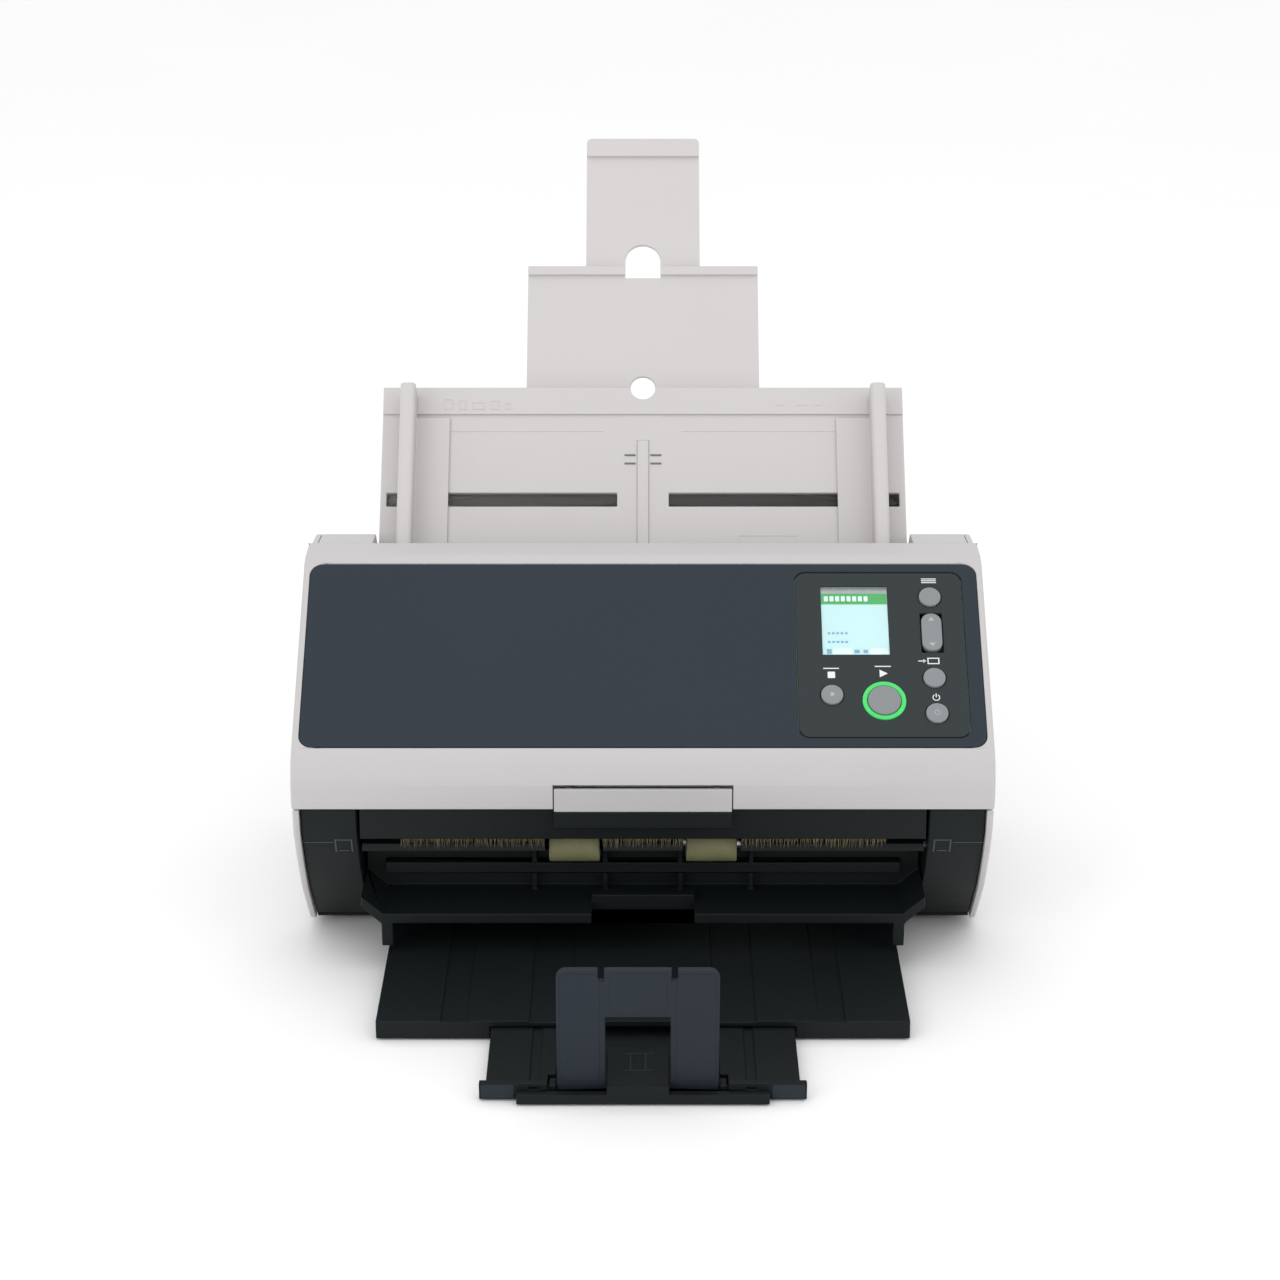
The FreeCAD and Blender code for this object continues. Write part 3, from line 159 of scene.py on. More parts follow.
shell_abs = moulded("spark_eroded_abs_light_grey", "#BFBDBD", "#B7B5B5", 0.46, 0.7, 0.22)
outside = lambda a, b: abs(a.x) > 0.1499 and abs(b.x) > 0.1499
for cover in ("left_side_cover", "right_side_cover"):
    eased(cover, shell_abs, 1.6, 0.4, outside)

# ---- Bottom cover, feet and screws -------------------------------------------------------------------
# The tray that everything stands in is dark moulded ABS with two rails for the stacker. Four soft
# thermoplastic feet are pressed into it, and self-tapping zinc-plated screws hold the side covers.

black_abs = moulded("spark_eroded_abs_black", "#12191A", "#0C1112", 0.5, 0.8, 0.25, 0.2)
eased("bottom_cover", black_abs, 0.4)

foot_tpe = moulded("moulded_soft_foot", "#2E2F30", "#232424", 0.78, 0.5, 0.35)
eased("rubber_feet", foot_tpe, 0.9)


def metal(name, tint, other, rough, stretch, depth):
    """A worked metal: fine marks drawn out along the direction in which stretch is small."""
    skin, place = blank(name)
    fit = add(skin, "Mapping", {"Vector": place, "Scale": stretch}).outputs[0]
    marks = add(skin, "TexNoise", {"Vector": fit, "Scale": 1, "Detail": 5}).outputs["Fac"]
    blotch = add(skin, "TexNoise", {"Vector": place, "Scale": 90, "Detail": 2}).outputs["Fac"]
    colour = add(skin, "MixRGB", {"Fac": blotch, "Color1": linear(tint),
                                  "Color2": linear(other)}).outputs["Color"]
    sheen = add(skin, "MapRange", {"Value": marks, "To Min": rough - 0.1,
                                   "To Max": rough + 0.12}).outputs[0]
    relief = add(skin, "Bump", {"Height": marks, "Strength": depth, "Distance": 0.00005}).outputs[0]
    body = add(skin, "BsdfPrincipled", {"Base Color": colour, "Roughness": sheen, "Normal": relief,
                                        "Metallic": 1.0})
    add(skin, "OutputMaterial", {"Surface": body.outputs[0]})
    return skin


zinc_steel = metal("zinc_plated_steel", "#B9BCBE", "#A4A8AC", 0.38, (1500, 1500, 1500), 0.1)
eased("case_screws", zinc_steel, 0.35)


def slabs(name, outlines, low, high, place, skin, body, soft=0.0):
    """Thin flat-topped shapes from outlines in a face's own millimetres, as one piece."""
    work = bmesh.new()
    for outline in outlines:
        ends = [[work.verts.new(place @ Vector((x, y, z))) for x, y in outline] for z in (low, high)]
        work.faces.new(reversed(ends[0]))
        work.faces.new(ends[1])
        for index in range(len(outline)):
            after = (index + 1) % len(outline)
            work.faces.new((ends[0][index], ends[0][after], ends[1][after], ends[1][index]))
    bmesh.ops.recalc_face_normals(work, faces=work.faces)
    for face in work.faces:
        face.smooth = True
    for edge in work.edges:
        edge.smooth = edge.calc_face_angle(0) < math.radians(35)
    mesh = bpy.data.meshes.new(name)
    work.to_mesh(mesh)
    work.free()
    mesh.materials.append(skin)
    piece = bpy.data.objects.new(name, mesh)
    bpy.context.scene.collection.objects.link(piece)
    if soft:
        bevel = piece.modifiers.new("edges", "BEVEL")
        bevel.width = soft / 1000
        bevel.segments = 2
        bevel.harden_normals = True
    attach(piece, body)
    return piece


def rect(x0, x1, y0, y1, r=0.0, steps=5):
    """A rectangle's outline, its corners rounded to r."""
    if not r:
        return [(x0, y0), (x1, y0), (x1, y1), (x0, y1)]
    points = []
    for cx, cy, turn in ((x1 - r, y1 - r, 0), (x0 + r, y1 - r, 90), (x0 + r, y0 + r, 180),
                         (x1 - r, y0 + r, 270)):
        for step in range(steps + 1):
            aim = math.radians(turn + 90 * step / steps)
            points.append((cx + r * math.cos(aim), cy + r * math.sin(aim)))
    return points


# The recess of each screw is a dark cross just inside its head: painted shade standing in for the hollow,
# which is not modelled.
recess_shade = moulded("painted_screw_recess_shade", "#3A3B3D", "#242526", 0.6, 0.4, 0.2)
joints = {joint["name"]: joint for joint in frame["joints"]}
hinge_depth = 0.0985
back_of_front = joints["top_unit_hinge"]["pos_m"][1] - hinge_depth
low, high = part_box("case_screws")
head_radius = 0.003
screw_x = 0.131
arms = (rect(-1.7, 1.7, -0.32, 0.32, 0.2), rect(-0.32, 0.32, -1.7, 1.7, 0.2))
crosses = []
for x in (-screw_x, screw_x):
    for y in (low.y + head_radius, high.y - head_radius):
        for arm in arms:
            crosses.append([(px + x * 1000, py + y * 1000) for px, py in arm])
slabs("screw_recesses", crosses, -0.03, 0.2, Matrix.Translation((0, 0, low.z)) @ Matrix.Scale(0.001, 4),
      recess_shade, "base")

# ---- Chassis, drive and feed motor -------------------------------------------------------------------
# Two pressed steel sides carry three ground shafts. A small motor turns them through smooth-backed
# chloroprene timing belts. The pulley on the motor is white acetal, moulded.

finish_node("chassis_plates", zinc_steel)
ground_steel = metal("ground_shaft_steel", "#C2C4C6", "#AEB1B4", 0.26, (60, 2600, 2600), 0.12)
for shaft in ("pick_shaft", "feed_shaft", "eject_shaft"):
    eased(shaft, ground_steel, 0.25)
finish_node("feed_motor", zinc_steel)
acetal = moulded("moulded_white_acetal", "#DAD7CE", "#CFCCC2", 0.34, 1.2, 0.08)
eased("motor_pulley", acetal, 0.3)
belt_rubber = moulded("chloroprene_belt", "#232323", "#191919", 0.66, 0.5, 0.4)
finish_node("drive_belts", belt_rubber)

# ---- Rollers -----------------------------------------------------------------------------------------
# Pick, feed and brake rollers are dark EPDM sleeves, ground round after vulcanising, which leaves fine
# rings. The exit rollers are softer olive rubber, and the small idlers against them are acetal.


def ground_rubber(name, tint, other, rough):
    """Rubber with the grinding rings round its axle, drawn wider apart than real so that they show."""
    skin, place = blank(name)
    rings = add(skin, "TexWave", {"Vector": place, "Scale": 310, "Distortion": 0.6, "Detail": 2},
                bands_direction="X").outputs["Fac"]
    crumb = add(skin, "TexNoise", {"Vector": place, "Scale": 1400, "Detail": 3}).outputs["Fac"]
    dirt = add(skin, "TexNoise", {"Vector": place, "Scale": 120, "Detail": 5,
                                  "Roughness": 0.7}).outputs["Fac"]
    colour = add(skin, "MixRGB", {"Fac": dirt, "Color1": linear(tint),
                                  "Color2": linear(other)}).outputs["Color"]
    height = add(skin, "Math", {0: rings, 1: crumb}, operation="ADD").outputs[0]
    relief = add(skin, "Bump", {"Height": height, "Strength": 0.3, "Distance": 0.0001}).outputs[0]
    sheen = add(skin, "MapRange", {"Value": crumb, "To Min": rough - 0.1, "To Max": rough + 0.1}).outputs[0]
    body = add(skin, "BsdfPrincipled", {"Base Color": colour, "Roughness": sheen, "Normal": relief,
                                        "IOR": 1.5})
    add(skin, "OutputMaterial", {"Surface": body.outputs[0]})
    return skin


epdm = ground_rubber("ground_epdm_dark", "#3C4043", "#2A2D2F", 0.7)
olive = ground_rubber("ground_rubber_olive", "#8C8A68", "#6A6848", 0.62)
for sleeve in ("pick_roller", "feed_rollers", "brake_roller"):
    eased(sleeve, epdm, 0.5)
eased("eject_rollers", olive, 0.6)
for idler in ("feed_idlers", "eject_idlers"):
    eased(idler, acetal, 0.4)
eased("pinch_axles", ground_steel, 0.2)
eased("brake_holder", black_abs, 0.3)

# ---- Paper guides and scanning bars ------------------------------------------------------------------
# Two dark moulded sheets, 1.5 mm apart at the bars, lead the paper down and forward. Each scanning bar is a
# housing with a clear float glass strip let in flush.

guide_abs = moulded("polished_abs_paper_guide", "#0F1516", "#0A0F10", 0.42, 1.4, 0.08, 0.2)
for guide in ("lower_paper_guide", "upper_paper_guide"):
    eased(guide, guide_abs, 0.3)
for unit in ("lower_scan_unit", "upper_scan_unit"):
    eased(unit, black_abs, 0.25)


def glassy(name, tint, rough):
    """Clear glass, faintly tinted, with the slight waviness of drawn sheet."""
    skin, place = blank(name)
    wave = add(skin, "TexNoise", {"Vector": place, "Scale": 35, "Detail": 1}).outputs["Fac"]
    dust = add(skin, "TexNoise", {"Vector": place, "Scale": 900, "Detail": 4}).outputs["Fac"]
    sheen = add(skin, "MapRange", {"Value": dust, "From Min": 0.5, "To Min": rough,
                                   "To Max": rough + 0.06}).outputs[0]
    relief = add(skin, "Bump", {"Height": wave, "Strength": 0.05, "Distance": 0.0002}).outputs[0]
    body = add(skin, "BsdfPrincipled", {"Base Color": linear(tint), "Roughness": sheen, "Normal": relief,
                                        "IOR": 1.5, "Transmission Weight": 1.0})
    add(skin, "OutputMaterial", {"Surface": body.outputs[0]})
    return skin


sensor_glass = glassy("float_glass_strip", "#E6EFEC", 0.01)
for strip in ("lower_scan_glass", "upper_scan_glass"):
    finish_node(strip, sensor_glass)

# ---- Electronics -------------------------------------------------------------------------------------
# The boards are glass-epoxy with green solder mask over etched copper. The ports are folded tin-plated
# shells soldered to the main board, with a moulded tongue and contacts inside each.


def printed_board(name, tint, track):
    """Solder mask with straight copper tracks 0.8 mm apart showing through it."""
    skin, place = blank(name)
    blocks = add(skin, "TexBrick", {"Vector": place, "Scale": 110, "Color1": linear(tint),
                                    "Color2": linear(track), "Mortar": linear(track),
                                    "Mortar Size": 0.05}).outputs["Color"]
    weave = add(skin, "TexNoise", {"Vector": place, "Scale": 1600, "Detail": 2}).outputs["Fac"]
    colour = add(skin, "MixRGB", {"Fac": weave, "Color1": linear(tint),
                                  "Color2": blocks}).outputs["Color"]
    relief = add(skin, "Bump", {"Height": weave, "Strength": 0.15, "Distance": 0.0001}).outputs[0]
    body = add(skin, "BsdfPrincipled", {"Base Color": colour, "Roughness": 0.32, "Normal": relief,
                                        "IOR": 1.55})
    add(skin, "OutputMaterial", {"Surface": body.outputs[0]})
    return skin


mask = printed_board("green_solder_mask", "#1E5A34", "#3B7A4C")
finish_node("main_board", mask)
finish_node("key_board", mask)
finish_node("screen_module", zinc_steel)
tin = metal("tin_plated_shell", "#C9CBCC", "#B4B7B9", 0.3, (300, 300, 1800), 0.1)
finish_node("data_ports", tin)
eased("power_inlet", black_abs, 0.3)
wall = Matrix(((0.001, 0, 0, 0), (0, 0, 0.001, back_of_front), (0, 0.001, 0, 0), (0, 0, 0, 1)))
tongue = moulded("moulded_contact_block", "#E4E3DF", "#D2D1CC", 0.4, 0.6, 0.1)
slabs("port_tongues", [rect(-66, -61, 27, 29.2, 0.3), rect(-42, -33, 31.2, 32.4, 0.2)], 166.1, 171.5, wall,
      tongue, "base", 0.15)
gold = metal("gold_flashed_contact", "#D9B45A", "#C79F45", 0.25, (900, 900, 900), 0.05)
pins = [rect(-41.4 + 1.02 * n, -40.9 + 1.02 * n, 30.7, 31.0) for n in range(8)]
pins += [rect(-65.4, -64.6, 26.7, 27.0), rect(-62.4, -61.6, 26.7, 27.0)]
slabs("port_contacts", pins, 166.3, 171, wall, gold, "base")
pin_ring = [(-94 + 1.1 * math.cos(turn), 28 + 1.1 * math.sin(turn))
            for turn in (step * math.pi / 8 for step in range(16))]
slabs("inlet_pin", [pin_ring], 166.1, 172, wall, tin, "base", 0.2)

# ---- Rear cover --------------------------------------------------------------------------------------
# The back wall and the shoulders beside the chute are one light ABS moulding, as the sides. Louvres let the
# warm air out, and the ports look through it.

eased("rear_cover", shell_abs, 0.5)
frames = [rect(-71.2, -55.8, 20.8, 35.2, 1), rect(-47.2, -27.8, 20.8, 37.2, 1),
          rect(-101.2, -86.8, 20.8, 35.2, 1)]
holes = [rect(-70, -57, 22, 34), rect(-46, -29, 22, 36), rect(-100, -88, 22, 34)]


def rim(name, outer, inner, low, high, place, skin, body):
    """A raised frame between two rectangles, such as one round a socket."""
    (ax, bx), (ay, by) = [(min(p[i] for p in outer), max(p[i] for p in outer)) for i in (0, 1)]
    (cx, dx), (cy, dy) = [(min(p[i] for p in inner), max(p[i] for p in inner)) for i in (0, 1)]
    bars = [rect(ax, bx, ay, cy), rect(ax, bx, dy, by), rect(ax, cx, cy, dy), rect(dx, bx, cy, dy)]
    return slabs(name, bars, low, high, place, skin, body)


for number, (outer, inner) in enumerate(zip(frames, holes)):
    rim("port_frame_%d" % number, outer, inner, 173.8, 174.4, wall, shell_abs, "base")

# ---- Mouth cheeks, brush and exit tray ---------------------------------------------------------------
# Dark ABS blocks close the mouth's ends. A bar with two arms crosses its foot, and the sheets drop over
# it. A row of fine conductive nylon bristles takes the charge off each sheet as it leaves.

eased("mouth_cheeks", black_abs, 0.8)
eased("exit_tray", black_abs, 0.5)


def slope(up, origin):
    """A sloping face's own millimetres, X across, Y up it and Z out of it, as the desk's metres."""
    up = Vector(up).normalized()
    out = Vector((1, 0, 0)).cross(up)
    columns = [Vector((1, 0, 0)), up, out]
    rows = [[columns[c][r] * 0.001 for c in range(3)] + [origin[r]] for r in range(3)]
    return Matrix(rows + [[0, 0, 0, 1]])


# Each cheek has a seam near its top and a clip's outline beside the mouth, drawn as thin raised lines in a
# lighter black: painted highlight along their edges.
cheek = slope((0, -5.9, 11.9), Vector((0, back_of_front + 0.0044, 0.0645)))
seams = []
for side in (-1, 1):
    clip = [rect(125.3, 132.9, -4.9, -4.3), rect(125.3, 125.9, -12.6, -4.9),
            rect(132.3, 132.9, -12.6, -4.9), rect(133.6, 147.4, -6.4, -6), rect(127, 131.2, -12, -11.5)]
    seams += [[(side * x, y) for x, y in outline] for outline in clip]
seam_highlight_abs = moulded("abs_black_painted_seam_highlight", "#3A4446", "#2C3537", 0.36, 0.8, 0.1)
slabs("cheek_seams", seams, -0.1, 0.22, cheek, seam_highlight_abs, "base")
front = Matrix(((0.001, 0, 0, 0), (0, 0, -0.001, back_of_front), (0, 0.001, 0, 0), (0, 0, 0, 1)))
bristle = moulded("carbon_loaded_nylon_bristle", "#9A9066", "#4A4533", 0.6, 0.3, 0.2)
chance = random.Random(11)
work = bmesh.new()
bristle_count = 620
brush_width = 0.209
roller_gap = (0.0175, 0.0425)
for number in range(bristle_count):
    x = -0.1045 + brush_width * number / (bristle_count - 1) + chance.uniform(-0.0002, 0.0002)
    if roller_gap[0] < abs(x) < roller_gap[1]:
        continue
    y = back_of_front + 0.0078 + chance.uniform(-0.0006, 0.0006)
    root = Vector((x, y, 0.0617))
    tip = root + Vector((chance.uniform(-0.0009, 0.0009), chance.uniform(-0.0012, 0.0004),
                         -chance.uniform(0.0026, 0.0066)))
    ring = [root + Vector((0.0002 * math.cos(a), 0.0002 * math.sin(a), 0)) for a in (0, 2.09, 4.19)]
    base = [work.verts.new(p) for p in ring]
    end = work.verts.new(tip)
    work.faces.new(base)
    for index in range(3):
        work.faces.new((base[index], end, base[(index + 1) % 3]))
bmesh.ops.recalc_face_normals(work, faces=work.faces)
mesh = bpy.data.meshes.new("discharge_bristles")
work.to_mesh(mesh)
work.free()
mesh.materials.append(bristle)
brush = bpy.data.objects.new("discharge_bristles", mesh)
bpy.context.scene.collection.objects.link(brush)
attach(brush, "top_unit")

# ---- Stacker -----------------------------------------------------------------------------------------
# Three flat trays telescope forward: each is charcoal ABS with shallow channels that keep sheets from
# sticking. The folding stopper is a lighter slate ABS flap on two stub pins.

tray_abs = moulded("spark_eroded_abs_charcoal", "#151B1D", "#0F1315", 0.54, 0.8, 0.28, 0.16)
stop_abs = moulded("spark_eroded_abs_slate", "#262E36", "#20262D", 0.54, 0.8, 0.22, 0.18)
eased("stacker", tray_abs, 0.45)
eased("stacker_extension", tray_abs, 0.4)
eased("end_slide", tray_abs, 0.35)
eased("stopper", stop_abs, 0.5)
# Thin patches of the lighter slate on the extension's front lip: painted highlight where the lip faces the
# light.
lip_highlight_patches = [rect(-64.8, -51.6, 1.4, 7.5, 0.8), rect(51.6, 64.8, 1.4, 7.5, 0.8)]
slabs("extension_lip_painted_highlights", lip_highlight_patches, 112.5, 112.8, front, stop_abs, "tray_slide", 0.12)
stop = joints["stopper_fold"]["pos_m"]
stop_face = Matrix(((0.001, 0, 0, -0.002), (0, 0, -0.001, stop[1]), (0, 0.001, 0, stop[2]), (0, 0, 0, 1)))
posts = [rect(-31, -15.4, 3.5, 50.9, 3), rect(15.4, 31, 3.5, 50.9, 3)]
slabs("stopper_post_pads", posts, 1.6, 1.9, stop_face, stop_abs, "stop", 0.15)
slabs("stopper_cross_pad", [rect(-11.4, 11.4, 33.2, 51.2, 1.4)], 1.6, 1.85, stop_face,
      stop_abs, "stop", 0.12)
flat = Matrix(((0.001, 0, 0, 0), (0, 0.001, 0, back_of_front), (0, 0, 0.001, 0), (0, 0, 0, 1)))
# The catch's ridges are real, and their lighter slate is painted highlight along the snap's edges.
slabs("tongue_catch", [rect(-8.2, 4.2, -98.2, -97.4, 0.3), rect(-8.2, 4.2, -84.4, -83.6, 0.3),
                       rect(-5.4, -4.7, -97.5, -84.3), rect(0.7, 1.4, -97.5, -84.3)],
      5.6, 5.9, flat, stop_abs, "end", 0.12)
slabs("front_grip_bumps", [rect(-50 + 3.6 * n, -47.6 + 3.6 * n, 1.1, 3.9, 1) for n in range(5)],
      115.2, 116.7, front, tray_abs, "end", 0.3)

# ---- Paper chute -------------------------------------------------------------------------------------
# The chute is a light ABS skin on a hollow back, in which the extension and its tip slide. Two slots let
# the side guides through. Small raised outlines of sheets show where each size lies.

chute_abs = moulded("spark_eroded_abs_chute_grey", "#C6C3C2", "#BEBBBA", 0.48, 0.7, 0.2)
eased("paper_chute", chute_abs, 0.6)
eased("chute_back_cover", chute_abs, 0.4)
eased("chute_extension", chute_abs, 0.45)
eased("extension_tip", chute_abs, 0.25)
eased("guide_pinion", acetal, 0.15)
for guide in ("left_side_guide", "right_side_guide"):
    eased(guide, chute_abs, 0.4)


up = Vector(joints["chute_extension_slide"]["axis"])
out = Vector((1, 0, 0)).cross(up)
pinion_height = 0.0243
pinion_depth = 0.004
chute = slope(up, Vector(joints["guide_pinion_turn"]["pos_m"]) - up * pinion_height + out * pinion_depth)


def sheet_mark(x, y, wide, tall):
    """The outline of a sheet, drawn with four thin bars."""
    bar = 0.32
    return [rect(x, x + wide, y, y + bar), rect(x, x + wide, y + tall - bar, y + tall),
            rect(x, x + bar, y + bar, y + tall - bar),
            rect(x + wide - bar, x + wide, y + bar, y + tall - bar)]


marks = []
for x, wide, tall in ((-93, 4.2, 5.2), (-86, 3.4, 4.6), (-79.5, 5.6, 3.6), (-71, 3.8, 4.4),
                      (-64.5, 2.6, 3.4)):
    marks += sheet_mark(x, 69.6, wide, tall)
for x, wide, tall in ((62, 3.6, 0.9), (72, 4.6, 0.9), (80.5, 3, 0.9)):
    marks.append(rect(x, x + wide, 71.6, 71.6 + tall))
slabs("size_marks", marks, 0.66, 0.86, chute, chute_abs, "base")
lines = [rect(-118, -8.5, 66.1, 66.5), rect(8.5, 118, 66.1, 66.5), rect(-90, -18, 58.6, 58.8),
         rect(18, 90, 58.6, 58.8), *sheet_mark(44, 1.5, 27, 5)]
slabs("chute_steps", lines, -0.1, 0.14, chute, chute_abs, "base")
shadow_abs = moulded("recessed_abs_shadow", "#6E6B6A", "#5E5B5A", 0.6, 0.8, 0.1)
hooks = []
for side in (-1, 1):
    for y in (46.2, 42):
        hooks.append(rect(*sorted((side * 3.4, side * 8.6)), y, y + 0.8, 0.35))
slabs("ridge_hooks", hooks, -0.1, 0.3, chute, shadow_abs, "base")

# ---- Hood and release tab ----------------------------------------------------------------------------
# The hood carries the whole upper paper path and swings up on two steel arms. It is one light ABS
# moulding. The tab under its front edge turns a steel bar whose hooks hold the hood down.

eased("top_cover", shell_abs, 1.0, 0.45, outside, False)
eased("release_tab", shell_abs, 0.5)
eased("tab_grip", black_abs, 0.5)
eased("latch_shaft", zinc_steel, 0.3)
finish_node("hinge_arms", zinc_steel)

# ---- Front panel -------------------------------------------------------------------------------------
# One slate plate of polycarbonate blend, moulded against a polished tool and lightly textured, clips into
# the hood's recess. Light glides over it without a sharp reflection.

panel_pc = moulded("satin_polycarbonate_slate", "#2A333B", "#252E35", 0.42, 1.1, 0.1, 0.16)
eased("front_panel", panel_pc, 0.5)

# ---- Operator panel ----------------------------------------------------------------------------------
# A charcoal plate set into the front panel behind a narrow groove. White pictograms are pad-printed beside
# the keys. They are plain generic marks: lines for a menu, a page, a power sign, a square and a triangle.

desk_pc = moulded("matte_polycarbonate_charcoal", "#303738", "#2A3031", 0.56, 0.8, 0.15, 0.18)
eased("operator_panel", desk_pc, 0.35)
out = -Vector(joints["menu_press"]["axis"])
up = out.cross(Vector((1, 0, 0)))
rocker_x = 0.126
rocker_height = 0.0576
rocker_depth = 0.0022
panel = slope(up, Vector(joints["select_rock"]["pos_m"]) - up * rocker_height + out * rocker_depth
              - Vector((rocker_x, 0, 0)))
ink = moulded("pad_printed_white_ink", "#E6E8E8", "#D5D8D8", 0.55, 0.5, 0.1)


def arc(cx, cy, inner, outer, start, stop, steps=18):
    """A band bent round a centre, from one angle to another, in degrees."""
    aims = [math.radians(start + (stop - start) * n / steps) for n in range(steps + 1)]
    return ([(cx + outer * math.cos(a), cy + outer * math.sin(a)) for a in aims]
            + [(cx + inner * math.cos(a), cy + inner * math.sin(a)) for a in reversed(aims)])


signs = []
for row in range(3):
    signs.append(rect(122.6, 129.2, 83.2 + 0.95 * row, 83.65 + 0.95 * row, 0.15))
signs += [rect(123.4, 128.6, 41.6, 42.1), rect(123.4, 128.6, 44.3, 44.8), rect(123.4, 123.9, 42.1, 44.3),
          rect(128.1, 128.6, 42.1, 44.3), rect(119.4, 122.4, 42.95, 43.4),
          [(121.6, 42.3), (122.9, 43.2), (121.6, 44.1)]]
signs += [arc(126.3, 24.9, 1.25, 1.65, -240, 60), rect(126.08, 126.52, 25, 26.9)]
signs += [rect(79.9, 83.1, 34.6, 37.8, 0.3), rect(78.1, 84.9, 39.2, 39.7)]
signs += [[(102.4, 35), (105.9, 36.9), (102.4, 38.8)], rect(100.4, 107.4, 40.2, 40.7)]
slabs("key_signs", signs, -0.11, -0.04, panel, ink, "top_unit")

# ---- Display -----------------------------------------------------------------------------------------
# A small colour display behind an acrylic pane. The lit picture is a green head line over a pale field
# with a few plain rows, and no words.

pane = glassy("cast_acrylic_pane", "#F2F6F5", 0.02)
finish_node("screen_window", pane)


def lit(name, tint, other, power):
    """A lit part of the display: fine rows of dots over a soft falling-off of the backlight."""
    skin, place = blank(name)
    rows = add(skin, "TexWave", {"Vector": place, "Scale": 870}, bands_direction="X").outputs["Fac"]
    cloud = add(skin, "TexNoise", {"Vector": place, "Scale": 60, "Detail": 1}).outputs["Fac"]
    share = add(skin, "Math", {0: rows, 1: cloud}, operation="MULTIPLY").outputs[0]
    colour = add(skin, "MixRGB", {"Fac": share, "Color1": linear(tint),
                                  "Color2": linear(other)}).outputs["Color"]
    body = add(skin, "BsdfPrincipled", {"Base Color": colour, "Roughness": 0.5, "Emission Color": colour,
                                        "Emission Strength": power})
    add(skin, "OutputMaterial", {"Surface": body.outputs[0]})
    return skin


field = lit("backlit_display_field", "#CFEFF2", "#B9E2E6", 0.55)
head = lit("backlit_display_green", "#00B046", "#059A40", 0.5)
faint = lit("backlit_display_blue", "#7FB4D8", "#6AA3CC", 0.4)
paper = lit("backlit_display_white", "#E9F4F4", "#DDECEC", 0.6)
slabs("display_field", [rect(78.3, 107.2, 47, 78.6)], -2.08, -2.05, panel, field, "top_unit")
slabs("display_head", [rect(78.3, 107.2, 73, 78.6)], -2.04, -2.02, panel, head, "top_unit")
slabs("display_head_marks", [rect(79.6 + 2.5 * n, 81.3 + 2.5 * n, 74.6, 77.2, 0.3) for n in range(8)],
      -2.01, -2.0, panel, paper, "top_unit")
rows = [rect(80.6 + 1.9 * n, 81.9 + 1.9 * n, y, y + 1.1) for y in (57.6, 53.2) for n in range(5)]
rows += [rect(80, 82.2, 47.6, 50.2), rect(92, 94.4, 48, 49.8), rect(96, 98, 48, 49.8)]
slabs("display_rows", rows, -2.04, -2.02, panel, faint, "top_unit")
slabs("display_tiles", [rect(83, 91, 47.6, 50.4), rect(99, 106.4, 47.6, 50.4)], -2.04, -2.02, panel, paper,
      "top_unit")

# ---- Keys --------------------------------------------------------------------------------------------
# Grey soft-touch caps over tact switches, with a fine matte grain. The scan key sits in a translucent ring
# of green acrylic, lit from its foot.

key_resin = moulded("soft_touch_key_grey", "#84888B", "#787C7F", 0.52, 0.45, 0.3)
for button in ("menu_button", "feed_mode_button", "power_button", "stop_button", "scan_button",
               "select_rocker"):
    eased(button, key_resin, 0.35)
pale_ink = moulded("pad_printed_grey_ink", "#A9AEB0", "#9DA2A4", 0.5, 0.5, 0.1)
arrows = [[(124.6, 63.2), (127.4, 63.2), (126, 65.2)], [(124.6, 52), (126, 50), (127.4, 52)]]
slabs("rocker_arrows", arrows, 0.78, 0.84, panel, pale_ink, "key_select")
slabs("stop_sign", [rect(80.7, 82.3, 25.3, 26.9)], 0.78, 0.84, panel, pale_ink, "key_stop")
slabs("power_sign", [arc(126.3, 17, 1, 1.3, -240, 60), rect(126.15, 126.45, 17.3, 18.7)], 0.78, 0.84, panel,
      pale_ink, "key_power")
ring_skin, ring_place = blank("translucent_green_acrylic")
cloud = add(ring_skin, "TexNoise", {"Vector": ring_place, "Scale": 300, "Detail": 2}).outputs["Fac"]
green = add(ring_skin, "MixRGB", {"Fac": cloud, "Color1": linear("#46C968"),
                                  "Color2": linear("#2FAE52")}).outputs[0]
body = add(ring_skin, "BsdfPrincipled", {"Base Color": green, "Roughness": 0.3, "IOR": 1.49,
                                         "Emission Color": green, "Emission Strength": 0.35,
                                         "Subsurface Weight": 0.2, "Subsurface Scale": 0.002})
add(ring_skin, "OutputMaterial", {"Surface": body.outputs[0]})
eased("scan_ring", ring_skin, 0.2)

# ---- Floor, light and camera -------------------------------------------------------------------------
# A pale seamless floor under a bright even dome, with one wide soft light overhead, one at the front left
# and a weak one at the right. The camera stands 1.1 m in front and looks down by about 20 degrees.

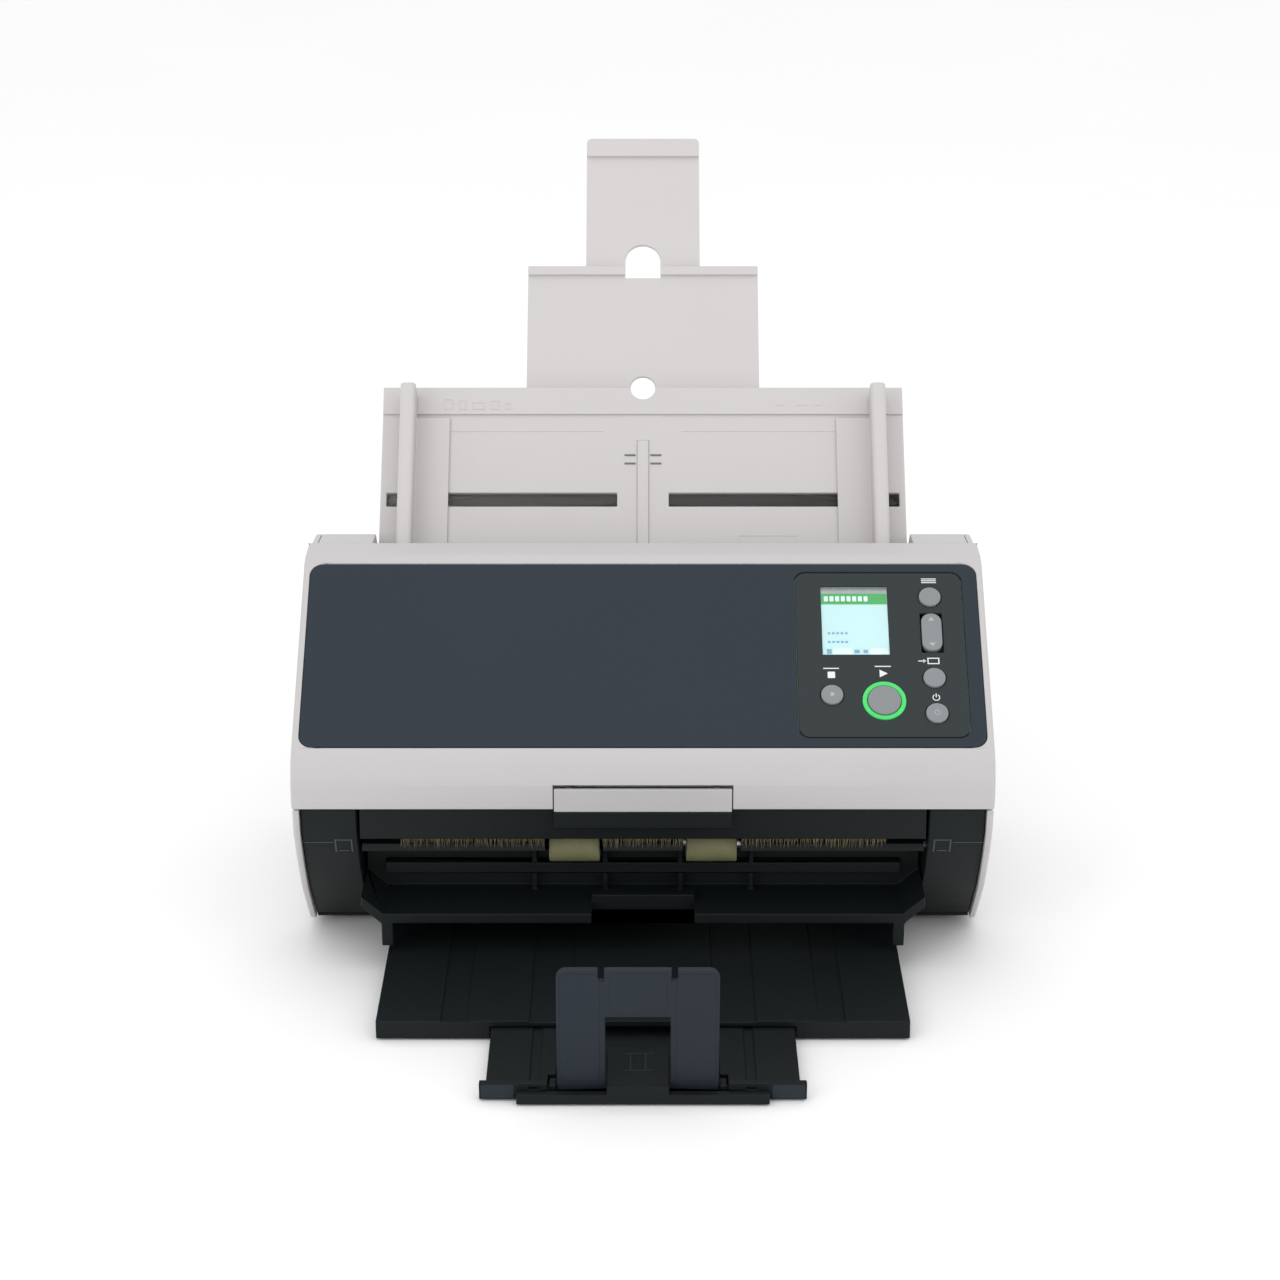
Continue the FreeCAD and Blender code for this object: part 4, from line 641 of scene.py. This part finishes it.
bpy.context.scene.view_settings.view_transform = "Standard"
floor_mesh = bpy.data.meshes.new("floor")
floor_mesh.from_pydata([(-8, -4, 0), (8, -4, 0), (8, 14, 0), (-8, 14, 0)], [], [(0, 1, 2, 3)])
floor = bpy.data.objects.new("floor", floor_mesh)
bpy.context.scene.collection.objects.link(floor)
paint, place = blank("pale_studio_paper")
soft = add(paint, "TexNoise", {"Vector": place, "Scale": 3, "Detail": 2}).outputs["Fac"]
tone = add(paint, "MixRGB", {"Fac": soft, "Color1": linear("#FBFBFB"),
                             "Color2": linear("#F8F8F8")}).outputs["Color"]
sheet = add(paint, "BsdfPrincipled", {"Base Color": tone, "Roughness": 0.9})
add(paint, "OutputMaterial", {"Surface": sheet.outputs[0]})
floor_mesh.materials.append(paint)

world = bpy.data.worlds.new("studio")
bpy.context.scene.world = world
world.use_nodes = True
world.node_tree.nodes["Background"].inputs["Color"].default_value = (1, 1, 1, 1)
world.node_tree.nodes["Background"].inputs["Strength"].default_value = 1.0
for name, at, aim, size, power in (("overhead", (0.1, -0.2, 1.7), (0, 0, 0.1), 1.6, 3),
                                   ("front_left", (-1.3, -1.6, 1.1), (0, 0, 0.1), 1.2, 6.5),
                                   ("right", (1.6, -0.9, 0.9), (0, 0, 0.12), 1.0, 2)):
    lamp = bpy.data.lights.new(name, "AREA")
    lamp.shape = "DISK"
    lamp.size = size
    lamp.energy = power
    spot = bpy.data.objects.new(name, lamp)
    spot.location = at
    spot.rotation_euler = (Vector(aim) - Vector(at)).to_track_quat("-Z", "Y").to_euler()
    bpy.context.scene.collection.objects.link(spot)

lens = bpy.data.cameras.new("camera")
lens.lens = 81.84
lens.sensor_width = 36
lens.shift_x = -0.0023
camera = bpy.data.objects.new("camera", lens)
standoff, eye_height, aim_down = 1.1367, 0.5805, math.radians(69.46)
camera.location = (0, back_of_front - standoff, eye_height)
camera.rotation_euler = (aim_down, 0, 0)
bpy.context.scene.collection.objects.link(camera)
bpy.context.scene.camera = camera
